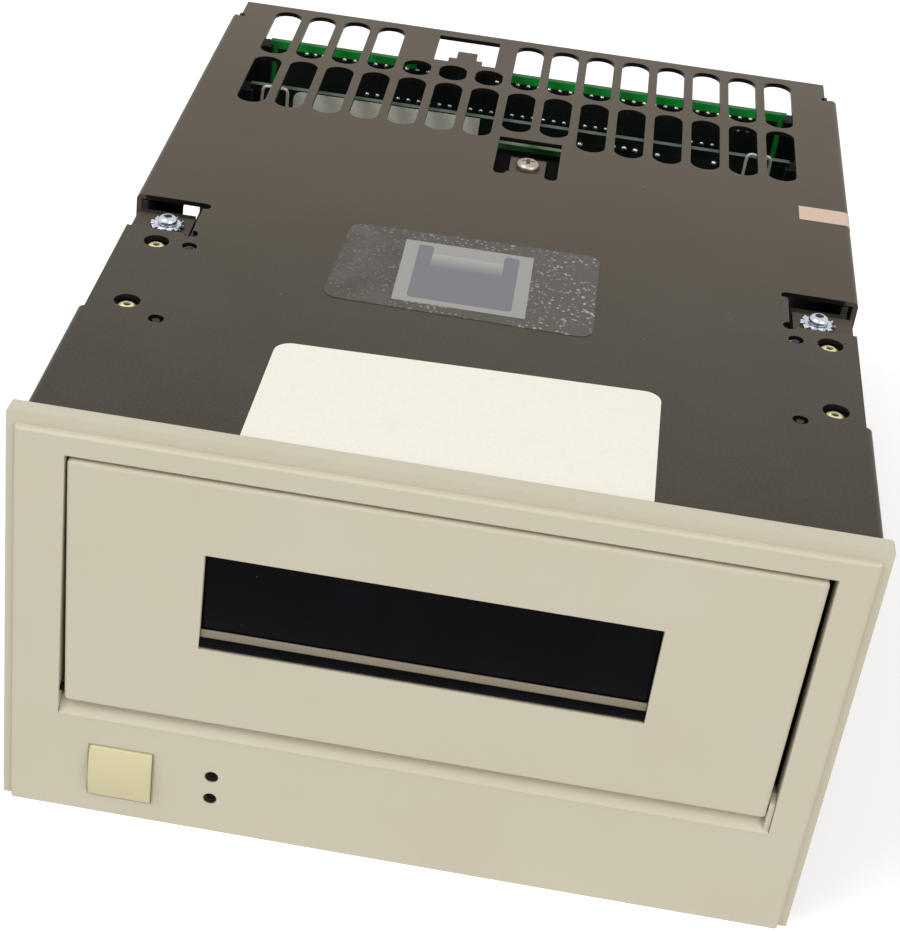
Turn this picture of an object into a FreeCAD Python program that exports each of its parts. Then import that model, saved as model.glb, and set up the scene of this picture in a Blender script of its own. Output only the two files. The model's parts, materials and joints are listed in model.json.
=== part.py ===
import FreeCAD, Part
import math
import os

V = FreeCAD.Vector

# ---------------------------------------------------------------------------
# A full-height 5.25 inch helical-scan data tape drive. Millimetres, +Z up.
# Each function works in the drive's own frame: X = 0 on the middle of the
# bezel, Y = 0 on the bezel's front face and growing to the rear, Z = 0 on
# the bezel's bottom edge. save() then moves every piece by FRAME_SHIFT, so
# that the origin is the middle of the drive's footprint.
# ---------------------------------------------------------------------------

# Envelope
CHASSIS_W = 146.05
CHASSIS_H = 82.55
DEPTH = 203.2
BEZEL_W = 149.4
BEZEL_H = 85.9
BUTTON_PROUD = 1.6
FRAME_SHIFT = V(0, -(DEPTH - BUTTON_PROUD) / 2, 0)

# Sheet metal
TUB_T = 1.2
COVER_T = 1.0
TUB_BOTTOM = 1.55
COVER_TOP = TUB_BOTTOM + CHASSIS_H
COVER_UNDER = COVER_TOP - COVER_T
HALF_W = CHASSIS_W / 2
JOGGLE = 1.25

# Bezel, from the front face backwards
PANEL_T = 1.2
FLANGE_T = 3.0
BEZEL_D = PANEL_T + FLANGE_T
FRAME_Y0 = BEZEL_D + 0.1
FRAME_T = 1.2
MOUNT_FACE_Y = FRAME_Y0 + FRAME_T

# Door recess and door
RECESS = (-64.2, 66.8, 22.5, 79.0)
SILL_RISE = 0.8
SILL_DEPTH = 4.6
SILL_REAR = 6.4
DOOR_LEFT = (-63.2, -63.85)
DOOR_RIGHT = (65.5, 65.65)
DOOR_T = 2.5
DOOR_BOTTOM = 25.9
DOOR_TOP = 78.2
HINGE_Y = 1.6
HINGE_Z = 27.6
PIN_R = 0.8
WINDOW = (-39.0, 40.8, 42.6, 63.1)

# Unload button and lamps
BUTTON = (-58.0, -46.0, 4.3, 16.2)
BUTTON_TRAVEL = 1.2
LAMP_X = -34.8
LAMP_Z = (13.2, 7.9)
LAMP_R = 1.0
FRONT_BOARD_Y = 14.0

# Mounting holes of the 5.25 inch form factor
MOUNT_FIRST = 47.4
MOUNT_PITCH = 79.25
MOUNT_Y = (MOUNT_FACE_Y + MOUNT_FIRST, MOUNT_FACE_Y + MOUNT_FIRST + MOUNT_PITCH)
MOUNT_X = 69.85
MOUNT_R = 1.6
SIDE_Z = (TUB_BOTTOM + 10.0, TUB_BOTTOM + 21.84)

# Vent slots of the top cover
SLOT_W = 6.5
SLOT_PITCH = 8.5
SLOT_COLUMNS = 15
ROW_REAR = (173.2, 200.0)
ROW_FRONT = (144.0, 171.0)
SHORT_FRONT = 149.0
OVAL_ROW = (172.9, 181.8)

# Cover features that line up with the deck inside
COVER_X = 0.4
COVER_HALF = 73.2
FLAP = (60.2, 72.0, 76.9, 87.4)
FLAP_SLOT_REAR = 91.0
FLAP_DROP = 2.2
FLAP_SCREWS = ((COVER_X - 65.0, 82.8), (COVER_X + 65.0, 82.8))
TAB = (0.2, 8.0, 126.6, 139.0)
TAB_DROP = 1.6
TAB_SCREW = (4.1, 134.6)
DECK_X = 1.3
BRASS_X = 65.8
POST_X = 59.2
BRASS_Y = (46.8, 71.8)
POST_Y = (41.8, 71.8)

# Tape deck
DECK_Z = 16.0
DECK_FRONT = 17.0
DECK_REAR = 140.0
DECK_T = 2.5
DECK_TOP = DECK_Z + DECK_T
CASSETTE_W = 95.0
HOLDER_T = 0.8
HOLDER_Z0 = 43.6
HOLDER_H = 17.6
HOLDER_Y = (8.5, 72.5)
HOLDER_LIFT = 14.0
REEL_X = 23.0
REEL_Y = 37.0
REEL_R = 13.0
DRUM_R = 20.0
DRUM_Y = 98.0
DRUM_TILT = 5.0
RING_TEETH = 62
PINION_TEETH = 12
GEAR_MODULE = 1.0
PINION_ANGLE = 45.0
CAPSTAN = (-30.5, 80.0)
CAPSTAN_R = 1.5
PINCH_PIVOT = (-47.0, 96.0)
PINCH_ROLLER = (-41.5, 80.0)
PINCH_R = 5.0

# Circuit boards
BOARD_T = 1.6
BOARD_HALF_W = 62.5
BASE_Z = 6.0
BOARD_Z = (12.0, 80.0)
FRONT_CARD_Y = 151.0
MIDDLE_CARD_Y = 163.5
REAR_CARD_Y = 191.0
PIN_PITCH = 2.54
DIP_Z = 73.45
DIP_ROW = ((-53.6, 8), (-30.2, 8), (-1.8, 10), (26.3, 9))
BAIL_X = (-56.15, 55.9)


# ---------------------------------------------------------------------------
# Solids in plain terms
# ---------------------------------------------------------------------------
def block(x0, x1, y0, y1, z0, z1):
    """Box between two corners."""
    return Part.makeBox(x1 - x0, y1 - y0, z1 - z0, V(x0, y0, z0))


def post(x, y, z0, z1, r):
    """Upright cylinder."""
    return Part.makeCylinder(r, z1 - z0, V(x, y, z0))


def pin_x(y, z, x0, x1, r):
    """Cylinder along X."""
    return Part.makeCylinder(r, x1 - x0, V(x0, y, z), V(1, 0, 0))


def pin_y(x, z, y0, y1, r):
    """Cylinder along Y."""
    return Part.makeCylinder(r, y1 - y0, V(x, y0, z), V(0, 1, 0))


def ring(x, y, z0, z1, r_out, r_in):
    """Upright tube."""
    return post(x, y, z0, z1, r_out).cut(post(x, y, z0 - 1, z1 + 1, r_in))


def prism(points, push):
    """Straight-sided solid from a closed outline."""
    wire = Part.makePolygon(points + [points[0]])
    return Part.Face(wire).extrude(push)


def slot(x, y0, y1, width, z0, z1):
    """Round-ended upright cutter that runs along Y."""
    r = width / 2
    body = block(x - r, x + r, y0 + r, y1 - r, z0, z1)
    return body.fuse([post(x, y0 + r, z0, z1, r), post(x, y1 - r, z0, z1, r)])


def slot_x(x0, x1, y, width, z0, z1):
    """Round-ended upright cutter that runs along X."""
    r = width / 2
    body = block(x0 + r, x1 - r, y - r, y + r, z0, z1)
    return body.fuse([post(x0 + r, y, z0, z1, r), post(x1 - r, y, z0, z1, r)])


def slot_z(x0, x1, y, z0, z1, width):
    """Round-ended cutter along X that stands upright, for a guide slot."""
    r = width / 2
    body = block(x0, x1, y - r, y + r, z0 + r, z1 - r)
    return body.fuse([pin_x(y, z0 + r, x0, x1, r), pin_x(y, z1 - r, x0, x1, r)])


def join(shapes):
    """One solid from pieces that overlap or touch."""
    return shapes[0].multiFuse(shapes[1:]).removeSplitter()


def group(shapes):
    """Separate solids kept in one node."""
    return Part.makeCompound(shapes)


def round_edges(shape, radius, wanted):
    """Fillet the edges that wanted(edge) picks."""
    edges = [e for e in shape.Edges if wanted(e)]
    return shape.makeFillet(radius, edges)


def bevel_edges(shape, size, wanted):
    """Chamfer the edges that wanted(edge) picks."""
    edges = [e for e in shape.Edges if wanted(e)]
    return shape.makeChamfer(size, edges)


def runs_along(edge, axis):
    """True for a straight edge parallel to axis 0, 1 or 2."""
    if len(edge.Vertexes) < 2:
        return False
    d = edge.Vertexes[1].Point - edge.Vertexes[0].Point
    parts = [abs(d.x), abs(d.y), abs(d.z)]
    along = parts.pop(axis)
    return along > 0.01 and max(parts) < 1e-6


def pan_screw(x, y, z, head_r, head_h, shank_r, shank_len):
    """Upright screw with a bevelled head and a cross recess, head seat at z."""
    head = post(x, y, z, z + head_h, head_r)
    head = bevel_edges(head, head_h * 0.5, lambda e: e.BoundBox.ZMin > z + head_h - 0.01)
    arm = head_r * 0.55
    thin = head_r * 0.13
    deep = z + head_h * 0.45
    cross = block(x - arm, x + arm, y - thin, y + thin, deep, z + head_h + 1)
    cross = cross.fuse(block(x - thin, x + thin, y - arm, y + arm, deep, z + head_h + 1))
    return join([head.cut(cross), post(x, y, z - shank_len, z, shank_r)])


# ---------------------------------------------------------------------------
# Sheet-metal chassis
# ---------------------------------------------------------------------------
def make_chassis_tub():
    """U-shaped tub: floor, joggled side walls, ears for the deck and cover."""
    low, high = TUB_BOTTOM, COVER_UNDER - 0.5
    step_low, step_high = 66.0, 68.0
    inner = HALF_W - JOGGLE
    outline = [V(-HALF_W, 0, low), V(HALF_W, 0, low), V(HALF_W, 0, step_low),
               V(inner, 0, step_high), V(inner, 0, high), V(inner - TUB_T, 0, high),
               V(inner - TUB_T, 0, step_high - 0.4), V(HALF_W - TUB_T, 0, step_low - 0.4),
               V(HALF_W - TUB_T, 0, low + TUB_T), V(-HALF_W + TUB_T, 0, low + TUB_T),
               V(-HALF_W + TUB_T, 0, step_low - 0.4), V(-inner + TUB_T, 0, step_high - 0.4),
               V(-inner + TUB_T, 0, high), V(-inner, 0, high), V(-inner, 0, step_high),
               V(-HALF_W, 0, step_low)]
    outline = [p + V(0, MOUNT_FACE_Y, 0) for p in outline]
    tub = prism(outline, V(0, DEPTH - MOUNT_FACE_Y, 0))
    tub = round_edges(tub, 1.5, lambda e: runs_along(e, 1) and e.BoundBox.ZMax < low + 0.01)
    # the walls stop short of the rear, where the cards and plugs are reached
    tub = tub.cut(block(-80, 80, DEPTH - 4.0, DEPTH + 1, low + TUB_T + 6.0, 90))
    # cable window in the left wall, beside the cards
    tub = tub.cut(block(-80, 0, 138.0, 166.0, 44.0, 59.0))
    # ears that carry the deck rails and take the cover's side screws
    ear_z = COVER_TOP - FLAP_DROP - COVER_T
    ears = []
    for side in (-1, 1):
        x0, x1 = sorted((side * (inner - TUB_T), side * 60.4))
        ears.append(block(x0, x1, 34.0, 91.0, ear_z - TUB_T, ear_z))
    tub = join([tub] + ears)
    # the walls are lower beside the cover's screw flaps
    tub = tub.cut(block(-80, 80, FLAP[2] - 1.5, FLAP_SLOT_REAR + 0.4, ear_z, 90))
    cutters = [post(x, y, ear_z - 3, ear_z + 1, 1.3) for x, y in FLAP_SCREWS]
    for y in BRASS_Y:
        for side in (-1, 1):
            cutters.append(post(DECK_X + side * BRASS_X, y, ear_z - 3, ear_z + 1, 1.45))
    # form-factor mounting holes in the floor and the walls
    for y in MOUNT_Y:
        for side in (-1, 1):
            cutters.append(post(side * MOUNT_X, y, low - 1, low + TUB_T + 1, MOUNT_R))
            for z in SIDE_Z:
                x0, x1 = sorted((side * (HALF_W - TUB_T - 1), side * (HALF_W + 1)))
                cutters.append(pin_x(y, z, x0, x1, MOUNT_R))
    for cutter in cutters:
        tub = tub.cut(cutter)
    return tub


def make_front_frame():
    """Black steel frame behind the bezel, lower where the cover meets it."""
    half = BEZEL_W / 2 + 0.2
    frame = block(-half, half, FRAME_Y0, MOUNT_FACE_Y, 0.6, BEZEL_H + 0.1)
    frame = round_edges(frame, 1.0, lambda e: runs_along(e, 1))
    frame = frame.cut(block(-HALF_W - 0.3, HALF_W + 0.3, 0, 9, COVER_TOP, 90))
    bay = block(RECESS[0] - 1.6, RECESS[1] + 1.6, 0, 9, RECESS[2] - 1.0, RECESS[3] + 1.4)
    key = block(BUTTON[0] + 2.0, BUTTON[1] - 2.0, 0, 9, BUTTON[2] + 2.0, BUTTON[3] - 2.0)
    frame = frame.cut(bay).cut(key)
    for z in LAMP_Z:
        frame = frame.cut(pin_y(LAMP_X, z, 0, 9, LAMP_R + 0.3))
    # studs that carry the small board behind the bezel
    studs = [pin_y(x, 18.3, FRAME_Y0, FRONT_BOARD_Y, 1.6) for x in (-61.0, -29.0)]
    return join([frame] + studs)


def flap_profile(y_root, y_end, drop, z_top):
    """Side outline of a tongue that steps down from the cover."""
    return [V(0, y_root - 1.0, z_top), V(0, y_root, z_top), V(0, y_root + drop * 1.1, z_top - drop),
            V(0, y_end, z_top - drop), V(0, y_end, z_top - drop - COVER_T),
            V(0, y_root + drop * 0.75, z_top - drop - COVER_T),
            V(0, y_root - 0.35, z_top - COVER_T), V(0, y_root - 1.0, z_top - COVER_T)]


def joggled_tongue(x0, x1, y_root, y_end, drop):
    """Tongue of the cover, pressed down so that its screw sits low."""
    points = [p + V(x0, 0, 0) for p in flap_profile(y_root, y_end, drop, COVER_TOP)]
    return prism(points, V(x1 - x0, 0, 0))


def vent_slots():
    """Cutters of the two rows of vent slots, with the short ones."""
    low, high = COVER_UNDER - 1, COVER_TOP + 1
    cutters = []
    for column in range(1, SLOT_COLUMNS + 1):
        x = SLOT_PITCH * (column - (SLOT_COLUMNS + 1) / 2)
        rear = OVAL_ROW if column in (5, 6, 7) else ROW_REAR
        front_start = SHORT_FRONT if column in (8, 9) else ROW_FRONT[0]
        cutters.append(slot(x, rear[0], rear[1], SLOT_W, low, high))
        cutters.append(slot(x, front_start, ROW_FRONT[1], SLOT_W, low, high))
    return cutters


def keyhole_window():
    """Cutter of the square window over the cable, with its stepped tongue."""
    low, high = COVER_UNDER - 1, COVER_TOP + 1
    window = block(-22.4, -7.7, 184.0, 199.6, low, high)
    tongue = block(-17.1, -12.4, 183.0, 190.9, low, high)
    shoulder = block(-18.9, -10.9, 183.0, 186.5, low, high)
    return window.cut(tongue.fuse(shoulder))


def make_top_cover():
    """Top cover: plate with rolled side skirts, vents, flaps and windows."""
    low, high = COVER_UNDER - 1, COVER_TOP + 1
    front, rear = MOUNT_FACE_Y, DEPTH
    left, right = COVER_X - COVER_HALF, COVER_X + COVER_HALF
    plate = block(left, right, front, rear, COVER_UNDER, COVER_TOP)
    skirts = []
    for side in (-1, 1):
        x0, x1 = sorted((COVER_X + side * (COVER_HALF - COVER_T), COVER_X + side * COVER_HALF))
        skirts.append(block(x0, x1, front, rear, 71.0, COVER_TOP))
    cover = join([plate] + skirts)
    cover = round_edges(cover, 1.2,
                        lambda e: runs_along(e, 1) and e.BoundBox.ZMin > COVER_TOP - 0.01
                        and (e.BoundBox.XMax < left + 0.01 or e.BoundBox.XMin > right - 0.01))
    cutters = []
    for side in (-1, 1):
        # narrow strip at the rear, with its corner reliefs
        x0, x1 = sorted((side * 70.7, side * 80))
        cutters.append(block(x0, x1, 194.0, rear + 1, 60, high))
        cutters.append(post(side * 70.7, 194.2, low, high, 0.9))
        # the skirt is left out beside the flaps
        x0, x1 = sorted((COVER_X + side * FLAP[1], side * 80))
        cutters.append(block(x0, x1, 42.6, FLAP_SLOT_REAR, 60, high))
        # gap round each screw flap
        x0, x1 = sorted((COVER_X + side * (FLAP[0] - 1.2), side * 80))
        cutters.append(block(x0, x1, FLAP[2], FLAP_SLOT_REAR, low, high))
        x0, x1 = sorted((COVER_X + side * 57.6, COVER_X + side * 62.0))
        cutters.append(slot_x(x0, x1, FLAP_SLOT_REAR - 1.25, 2.5, low, high))
        cutters.append(post(COVER_X + side * (FLAP[0] - 1.0), FLAP[2] + 0.3, low, high, 1.5))
    for y in BRASS_Y:
        for side in (-1, 1):
            cutters.append(post(DECK_X + side * BRASS_X, y, low, high, 2.5))
    for y in POST_Y:
        for side in (-1, 1):
            cutters.append(post(DECK_X + side * POST_X, y, low, high, 1.5))
    # window over the front card, round the centre tab
    cutters.append(block(-3.1, 10.8, TAB[2] + 1.4, 145.5, low, high))
    cutters.append(slot(-1.7, TAB[2] - 0.3, 140.0, 2.8, low, high))
    cutters.append(slot(9.4, TAB[2] - 0.3, 140.0, 2.8, low, high))
    cutters += vent_slots()
    cutters.append(keyhole_window())
    cover = cover.cut(cutters)
    tongues = [joggled_tongue(TAB[0], TAB[1], TAB[2] + 1.4, TAB[3], TAB_DROP)]
    for side in (-1, 1):
        x0, x1 = sorted((COVER_X + side * FLAP[0], COVER_X + side * FLAP[1]))
        tongues.append(joggled_tongue(x0, x1, FLAP[2], FLAP[3], FLAP_DROP))
    cover = join([cover] + tongues)
    holes = [post(x, y, 70, high, 1.6) for x, y in FLAP_SCREWS]
    holes.append(post(TAB_SCREW[0], TAB_SCREW[1], 70, high, 1.4))
    return cover.cut(holes)


def make_cross_brace():
    """Channel across the chassis that takes the cover's centre screw."""
    top = COVER_TOP - TAB_DROP - COVER_T
    reach = HALF_W - JOGGLE - TUB_T
    brace = block(-reach, reach, 128.6, 142.2, top - TUB_T, top)
    webs = [block(-reach, reach, y, y + TUB_T, top - 7.0, top) for y in (128.6, 141.0)]
    brace = join([brace] + webs)
    return brace.cut(post(TAB_SCREW[0], TAB_SCREW[1], top - 3, top + 1, 1.15))


def make_cover_screws():
    """Two side screws and the centre screw of the cover."""
    side_z = COVER_TOP - FLAP_DROP + 0.9
    screws = [pan_screw(x, y, side_z, 2.15, 1.6, 1.3, 5.0) for x, y in FLAP_SCREWS]
    tab_z = COVER_TOP - TAB_DROP
    screws.append(pan_screw(TAB_SCREW[0], TAB_SCREW[1], tab_z, 2.5, 1.6, 1.15, 4.5))
    return group(screws)


def make_star_washers():
    """External-tooth lock washers under the two side screws."""
    z = COVER_TOP - FLAP_DROP
    washers = []
    for x, y in FLAP_SCREWS:
        points = []
        for k in range(20):
            a = math.radians(18 * k)
            r = 3.3 if k % 2 == 0 else 2.5
            points.append(V(x + r * math.cos(a), y + r * math.sin(a), z))
        washers.append(prism(points, V(0, 0, 0.9)).cut(post(x, y, z - 1, z + 2, 1.32)))
    return group(washers)


# ---------------------------------------------------------------------------
# Bezel, door, button, lamps
# ---------------------------------------------------------------------------
def make_bezel():
    """Stepped moulded bezel with the door recess and its sloped sill."""
    half = BEZEL_W / 2
    flange = block(-half, half, PANEL_T, BEZEL_D, 0, BEZEL_H)
    flange = round_edges(flange, 0.9, lambda e: runs_along(e, 1) and e.BoundBox.ZMin > 1)
    inset = 1.7
    panel = block(-half + inset, half - inset, 0, PANEL_T + 0.1, 0, BEZEL_H - 2.7)
    panel = bevel_edges(panel, 0.45,
                        lambda e: e.BoundBox.YMax < 0.01 and e.BoundBox.ZMax > 1)
    bezel = join([flange, panel])
    x0, x1, z0, z1 = RECESS
    # the sill runs back under the door, through the frame's opening
    bezel = join([bezel, block(x0, x1, BEZEL_D - 0.1, SILL_REAR, z0 - 0.6, z0 + 3)])
    sill = [V(x0, -1, z0), V(x0, 0, z0), V(x0, SILL_DEPTH, z0 + SILL_RISE),
            V(x0, 9, z0 + SILL_RISE), V(x0, 9, z1), V(x0, -1, z1)]
    bezel = bezel.cut(prism(sill, V(x1 - x0, 0, 0)))
    bezel = round_edges(bezel, 0.4, lambda e: runs_along(e, 0) and e.BoundBox.YMax < 0.01
                        and abs(e.BoundBox.ZMin - z0) < 0.01)
    bezel = bezel.cut(block(BUTTON[0] - 0.25, BUTTON[1] + 0.25, -1, 9,
                            BUTTON[2] - 0.25, BUTTON[3] + 0.25))
    for z in LAMP_Z:
        bezel = bezel.cut(pin_y(LAMP_X, z, -1, 9, LAMP_R + 0.3))
    bores = pin_x(HINGE_Y, HINGE_Z, x0 - 2.4, x1 + 2.4, PIN_R + 0.05)
    return bezel.cut(bores)


def make_door():
    """Hinged cassette door with its window opening, sill and latch hook."""
    x0, x1 = DOOR_LEFT[0], DOOR_RIGHT[0]
    outline = [V(x0, 0, DOOR_BOTTOM), V(x1, 0, DOOR_BOTTOM),
               V(DOOR_RIGHT[1], 0, DOOR_TOP), V(DOOR_LEFT[1], 0, DOOR_TOP)]
    door = prism(outline, V(0, DOOR_T, 0))
    door = round_edges(door, 1.0, lambda e: e.BoundBox.YMax > DOOR_T - 0.01
                       and e.BoundBox.YMin < 0.01 and e.BoundBox.ZMin > 70)
    door = round_edges(door, 0.9, lambda e: e.BoundBox.YMax < 0.01 and e.BoundBox.ZMax > 70)
    door = round_edges(door, 0.5, lambda e: runs_along(e, 0) and e.BoundBox.YMax < 0.01
                       and e.BoundBox.ZMax < 30)
    wx0, wx1, wz0, wz1 = WINDOW
    door = door.cut(block(wx0, wx1, -1, 9, wz0, wz1))
    # stiffening ribs and the latch hook on the back
    rib_back = DOOR_T + 1.6
    ribs = [block(x0 + 3, x1 - 3, DOOR_T, rib_back, z, z + 1.2) for z in (34.0, 70.0)]
    ribs += [block(x, x + 1.2, DOOR_T, rib_back, 34.0, 71.2) for x in (x0 + 3, x1 - 4.2)]
    hook = [V(0, DOOR_T, 73.6), V(0, 8.4, 73.6), V(0, 8.4, 75.4), V(0, 7.2, 76.4),
            V(0, 6.6, 75.2), V(0, DOOR_T, 75.2)]
    hooks = [prism([p + V(x, 0, 0) for p in hook], V(4.0, 0, 0)) for x in (-36.0, 34.0)]
    door = join([door] + ribs + hooks)
    bores = [pin_x(HINGE_Y, HINGE_Z, x0 - 1, x0 + 4, PIN_R),
             pin_x(HINGE_Y, HINGE_Z, x1 - 4, x1 + 1, PIN_R)]
    return door.cut(bores)


def make_window():
    """Smoked window: recessed pane, rear rim and the lip along its foot."""
    x0, x1, z0, z1 = WINDOW
    pane = block(x0, x1, 1.0, DOOR_T, z0, z1)
    rim = block(x0 - 1.6, x1 + 1.6, DOOR_T, DOOR_T + 1.2, z0 - 1.6, z1 + 1.6)
    lip = block(x0, x1, 0.1, 1.1, z0, z0 + 2.3)
    lip = round_edges(lip, 0.6, lambda e: runs_along(e, 0) and e.BoundBox.YMax < 0.11)
    sill = block(x0, x1, 0.65, 1.1, z0 + 2.3, z0 + 3.9)
    return join([pane, rim, lip, sill])


def make_door_pins():
    """Steel hinge pins pressed into the door's lower corners."""
    x0, x1 = DOOR_LEFT[0], DOOR_RIGHT[0]
    return group([pin_x(HINGE_Y, HINGE_Z, RECESS[0] - 2.0, x0 + 4, PIN_R),
                  pin_x(HINGE_Y, HINGE_Z, x1 - 4, RECESS[1] + 2.0, PIN_R)])


def make_door_spring():
    """Torsion spring that lifts the door off its latch, with its two legs."""
    coil_r, wire, pitch, turns = 1.5, 0.5, 0.8, 4
    y, z = 8.4, 25.4
    helix = Part.makeHelix(pitch, pitch * turns, coil_r)
    half = wire / 2
    corners = [V(coil_r - half, 0, -half), V(coil_r + half, 0, -half),
               V(coil_r + half, 0, half), V(coil_r - half, 0, half)]
    section = Part.makePolygon(corners + [corners[0]])
    coil = Part.Wire(helix.Edges).makePipeShell([section], True, True)
    coil.rotate(V(0, 0, 0), V(0, 1, 0), 90)
    coil.translate(V(-44.0, y, z))
    tail = z - coil_r
    legs = [block(-44.0 - half, -44.0 + half, y, y + 7.5, tail - half, tail + half),
            block(-40.8 - half, -40.8 + half, y - 4.0, y, tail - half, tail + half)]
    return join([coil] + legs)


def make_latch_catch():
    """Two spring-steel catches on the front frame for the door's hooks."""
    catches = []
    for x in (-36.0, 34.0):
        outline = [V(x, MOUNT_FACE_Y, 81.4), V(x, 12.0, 81.4), V(x, 12.0, 79.0),
                   V(x, 10.2, 77.4), V(x, 11.0, 77.0), V(x, 12.6, 78.6), V(x, 12.6, 82.0),
                   V(x, MOUNT_FACE_Y, 82.0)]
        catches.append(prism(outline, V(4.0, 0, 0)))
    return group(catches)


def make_unload_button():
    """Push button, crowned from top to bottom, with its stem."""
    x0, x1, z0, z1 = BUTTON
    mid = (z0 + z1) / 2
    rise = BUTTON_PROUD
    face = Part.Arc(V(x0, -0.2, z1), V(x0, -rise, mid), V(x0, -0.2, z0)).toShape()
    wire = Part.Wire([face] + Part.makePolygon([V(x0, -0.2, z0), V(x0, 2.9, z0), V(x0, 2.9, z1),
                                                V(x0, -0.2, z1)]).Edges)
    cap = Part.Face(wire).extrude(V(x1 - x0, 0, 0))
    cap = cap.cut(block(x0 + 1.2, x1 - 1.2, 1.4, 9, z0 + 1.2, z1 - 1.2))
    stem = pin_y((x0 + x1) / 2, mid, 1.0, 8.5, 1.6)
    return join([cap, stem])


def make_front_board():
    """Small board behind the bezel for the button switch and the lamps."""
    board = block(-64.0, -26.0, FRONT_BOARD_Y, FRONT_BOARD_Y + BOARD_T, 7.9, 21.0)
    for x in (-61.0, -29.0):
        board = board.cut(pin_y(x, 18.3, 13, 17, 0.9))
    return board


def make_button_switch():
    """Tact switch that the button's stem presses."""
    x = (BUTTON[0] + BUTTON[1]) / 2
    z = (BUTTON[2] + BUTTON[3]) / 2
    case = block(x - 3, x + 3, 10.6, FRONT_BOARD_Y, z - 2.2, z + 3)
    return join([case, pin_y(x, z, 9.8, 10.6, 1.1)])


def make_lamps():
    """Two indicator lamps with their light pipes behind the bezel holes."""
    lamps = []
    for z in LAMP_Z:
        pipe = pin_y(LAMP_X, z, 2.8, FRONT_BOARD_Y, LAMP_R)
        lamps.append(bevel_edges(pipe, 0.3, lambda e: e.BoundBox.YMax < 2.9))
    return group(lamps)


# ---------------------------------------------------------------------------
# Deck: plate, rails, cassette holder
# ---------------------------------------------------------------------------
def reel_centres():
    """Places of the two reel tables."""
    return [(DECK_X - REEL_X, REEL_Y), (DECK_X + REEL_X, REEL_Y)]


def pinion_centre():
    """Place of the loading pinion, outside the ring."""
    reach = GEAR_MODULE * (RING_TEETH + PINION_TEETH) / 2 + 0.1
    a = math.radians(PINION_ANGLE)
    return DECK_X + reach * math.cos(a), DRUM_Y + reach * math.sin(a)


def make_deck_plate():
    """Cast deck plate with a stiffening edge and the holes of the transport."""
    half = 61.3
    x0, x1, wall = DECK_X - half, DECK_X + half, 2.4
    plate = block(x0, x1, DECK_FRONT, DECK_REAR, DECK_Z - wall, DECK_TOP)
    plate = round_edges(plate, 4.0, lambda e: runs_along(e, 2))
    hollow = block(x0 + wall, x1 - wall, DECK_FRONT + wall, DECK_REAR - wall, DECK_Z - 4, DECK_Z)
    plate = plate.cut(hollow)
    cutters = [post(x, y, 0, 30, 2.6) for x, y in reel_centres()]
    cutters.append(post(CAPSTAN[0], CAPSTAN[1], 0, 30, 2.2))
    cutters.append(post(PINCH_PIVOT[0], PINCH_PIVOT[1], 0, 30, 1.5))
    cutters.append(post(DECK_X, DRUM_Y, 0, 30, 11.0))
    return plate.cut(cutters)


def make_side_rails():
    """Steel rails that hang the deck plate from the chassis ears."""
    ear_z = COVER_TOP - FLAP_DROP - COVER_T
    rails = []
    spans = ((-69.4, -56.0, -57.2), (58.6, 70.2, 59.8))
    for low, high, fold in spans:
        flange = block(low, high, 36.0, 77.0, ear_z, ear_z + TUB_T)
        if low < 0:
            wall = block(fold, high, 36.0, 77.0, DECK_TOP, ear_z + TUB_T)
            foot = block(fold, -53.0, 36.0, 77.0, DECK_TOP, DECK_TOP + TUB_T)
        else:
            wall = block(low, fold, 36.0, 77.0, DECK_TOP, ear_z + TUB_T)
            foot = block(55.6, fold, 36.0, 77.0, DECK_TOP, DECK_TOP + TUB_T)
        rail = join([flange, wall, foot])
        rail = rail.cut(block(low - 9, high + 9, 47.0, 66.0, 30.0, 68.0))
        side = -1 if low < 0 else 1
        for y in BRASS_Y:
            rail = rail.cut(post(DECK_X + side * BRASS_X, y, ear_z - 1, ear_z + 3, 1.3))
        rails.append(rail)
    return group(rails)


def make_rail_screws():
    """Four brass screws that hold the rails to the chassis ears."""
    ear_z = COVER_TOP - FLAP_DROP - COVER_T
    screws = []
    for y in BRASS_Y:
        for side in (-1, 1):
            x = DECK_X + side * BRASS_X
            screws.append(pan_screw(x, y, ear_z + TUB_T, 1.75, 1.1, 1.25, 5.2))
    return group(screws)


def make_shock_grommets():
    """Rubber rings under the ears, round the brass screws."""
    ear_z = COVER_TOP - FLAP_DROP - COVER_T
    rings = []
    for y in BRASS_Y:
        for side in (-1, 1):
            x = DECK_X + side * BRASS_X
            rings.append(ring(x, y, ear_z - TUB_T - 2.2, ear_z - TUB_T, 3.0, 1.25))
    return group(rings)


def make_rail_posts():
    """Dark locating posts riveted to the rails under the cover's small holes."""
    ear_z = COVER_TOP - FLAP_DROP - COVER_T
    return group([post(DECK_X + side * POST_X, y, ear_z + TUB_T, COVER_TOP - 0.35, 0.75)
                  for y in POST_Y for side in (-1, 1)])


def holder_sides():
    """Outer X of the cassette holder's two side walls."""
    half = CASSETTE_W / 2 + 1.0 + HOLDER_T
    return DECK_X - half, DECK_X + half


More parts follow.
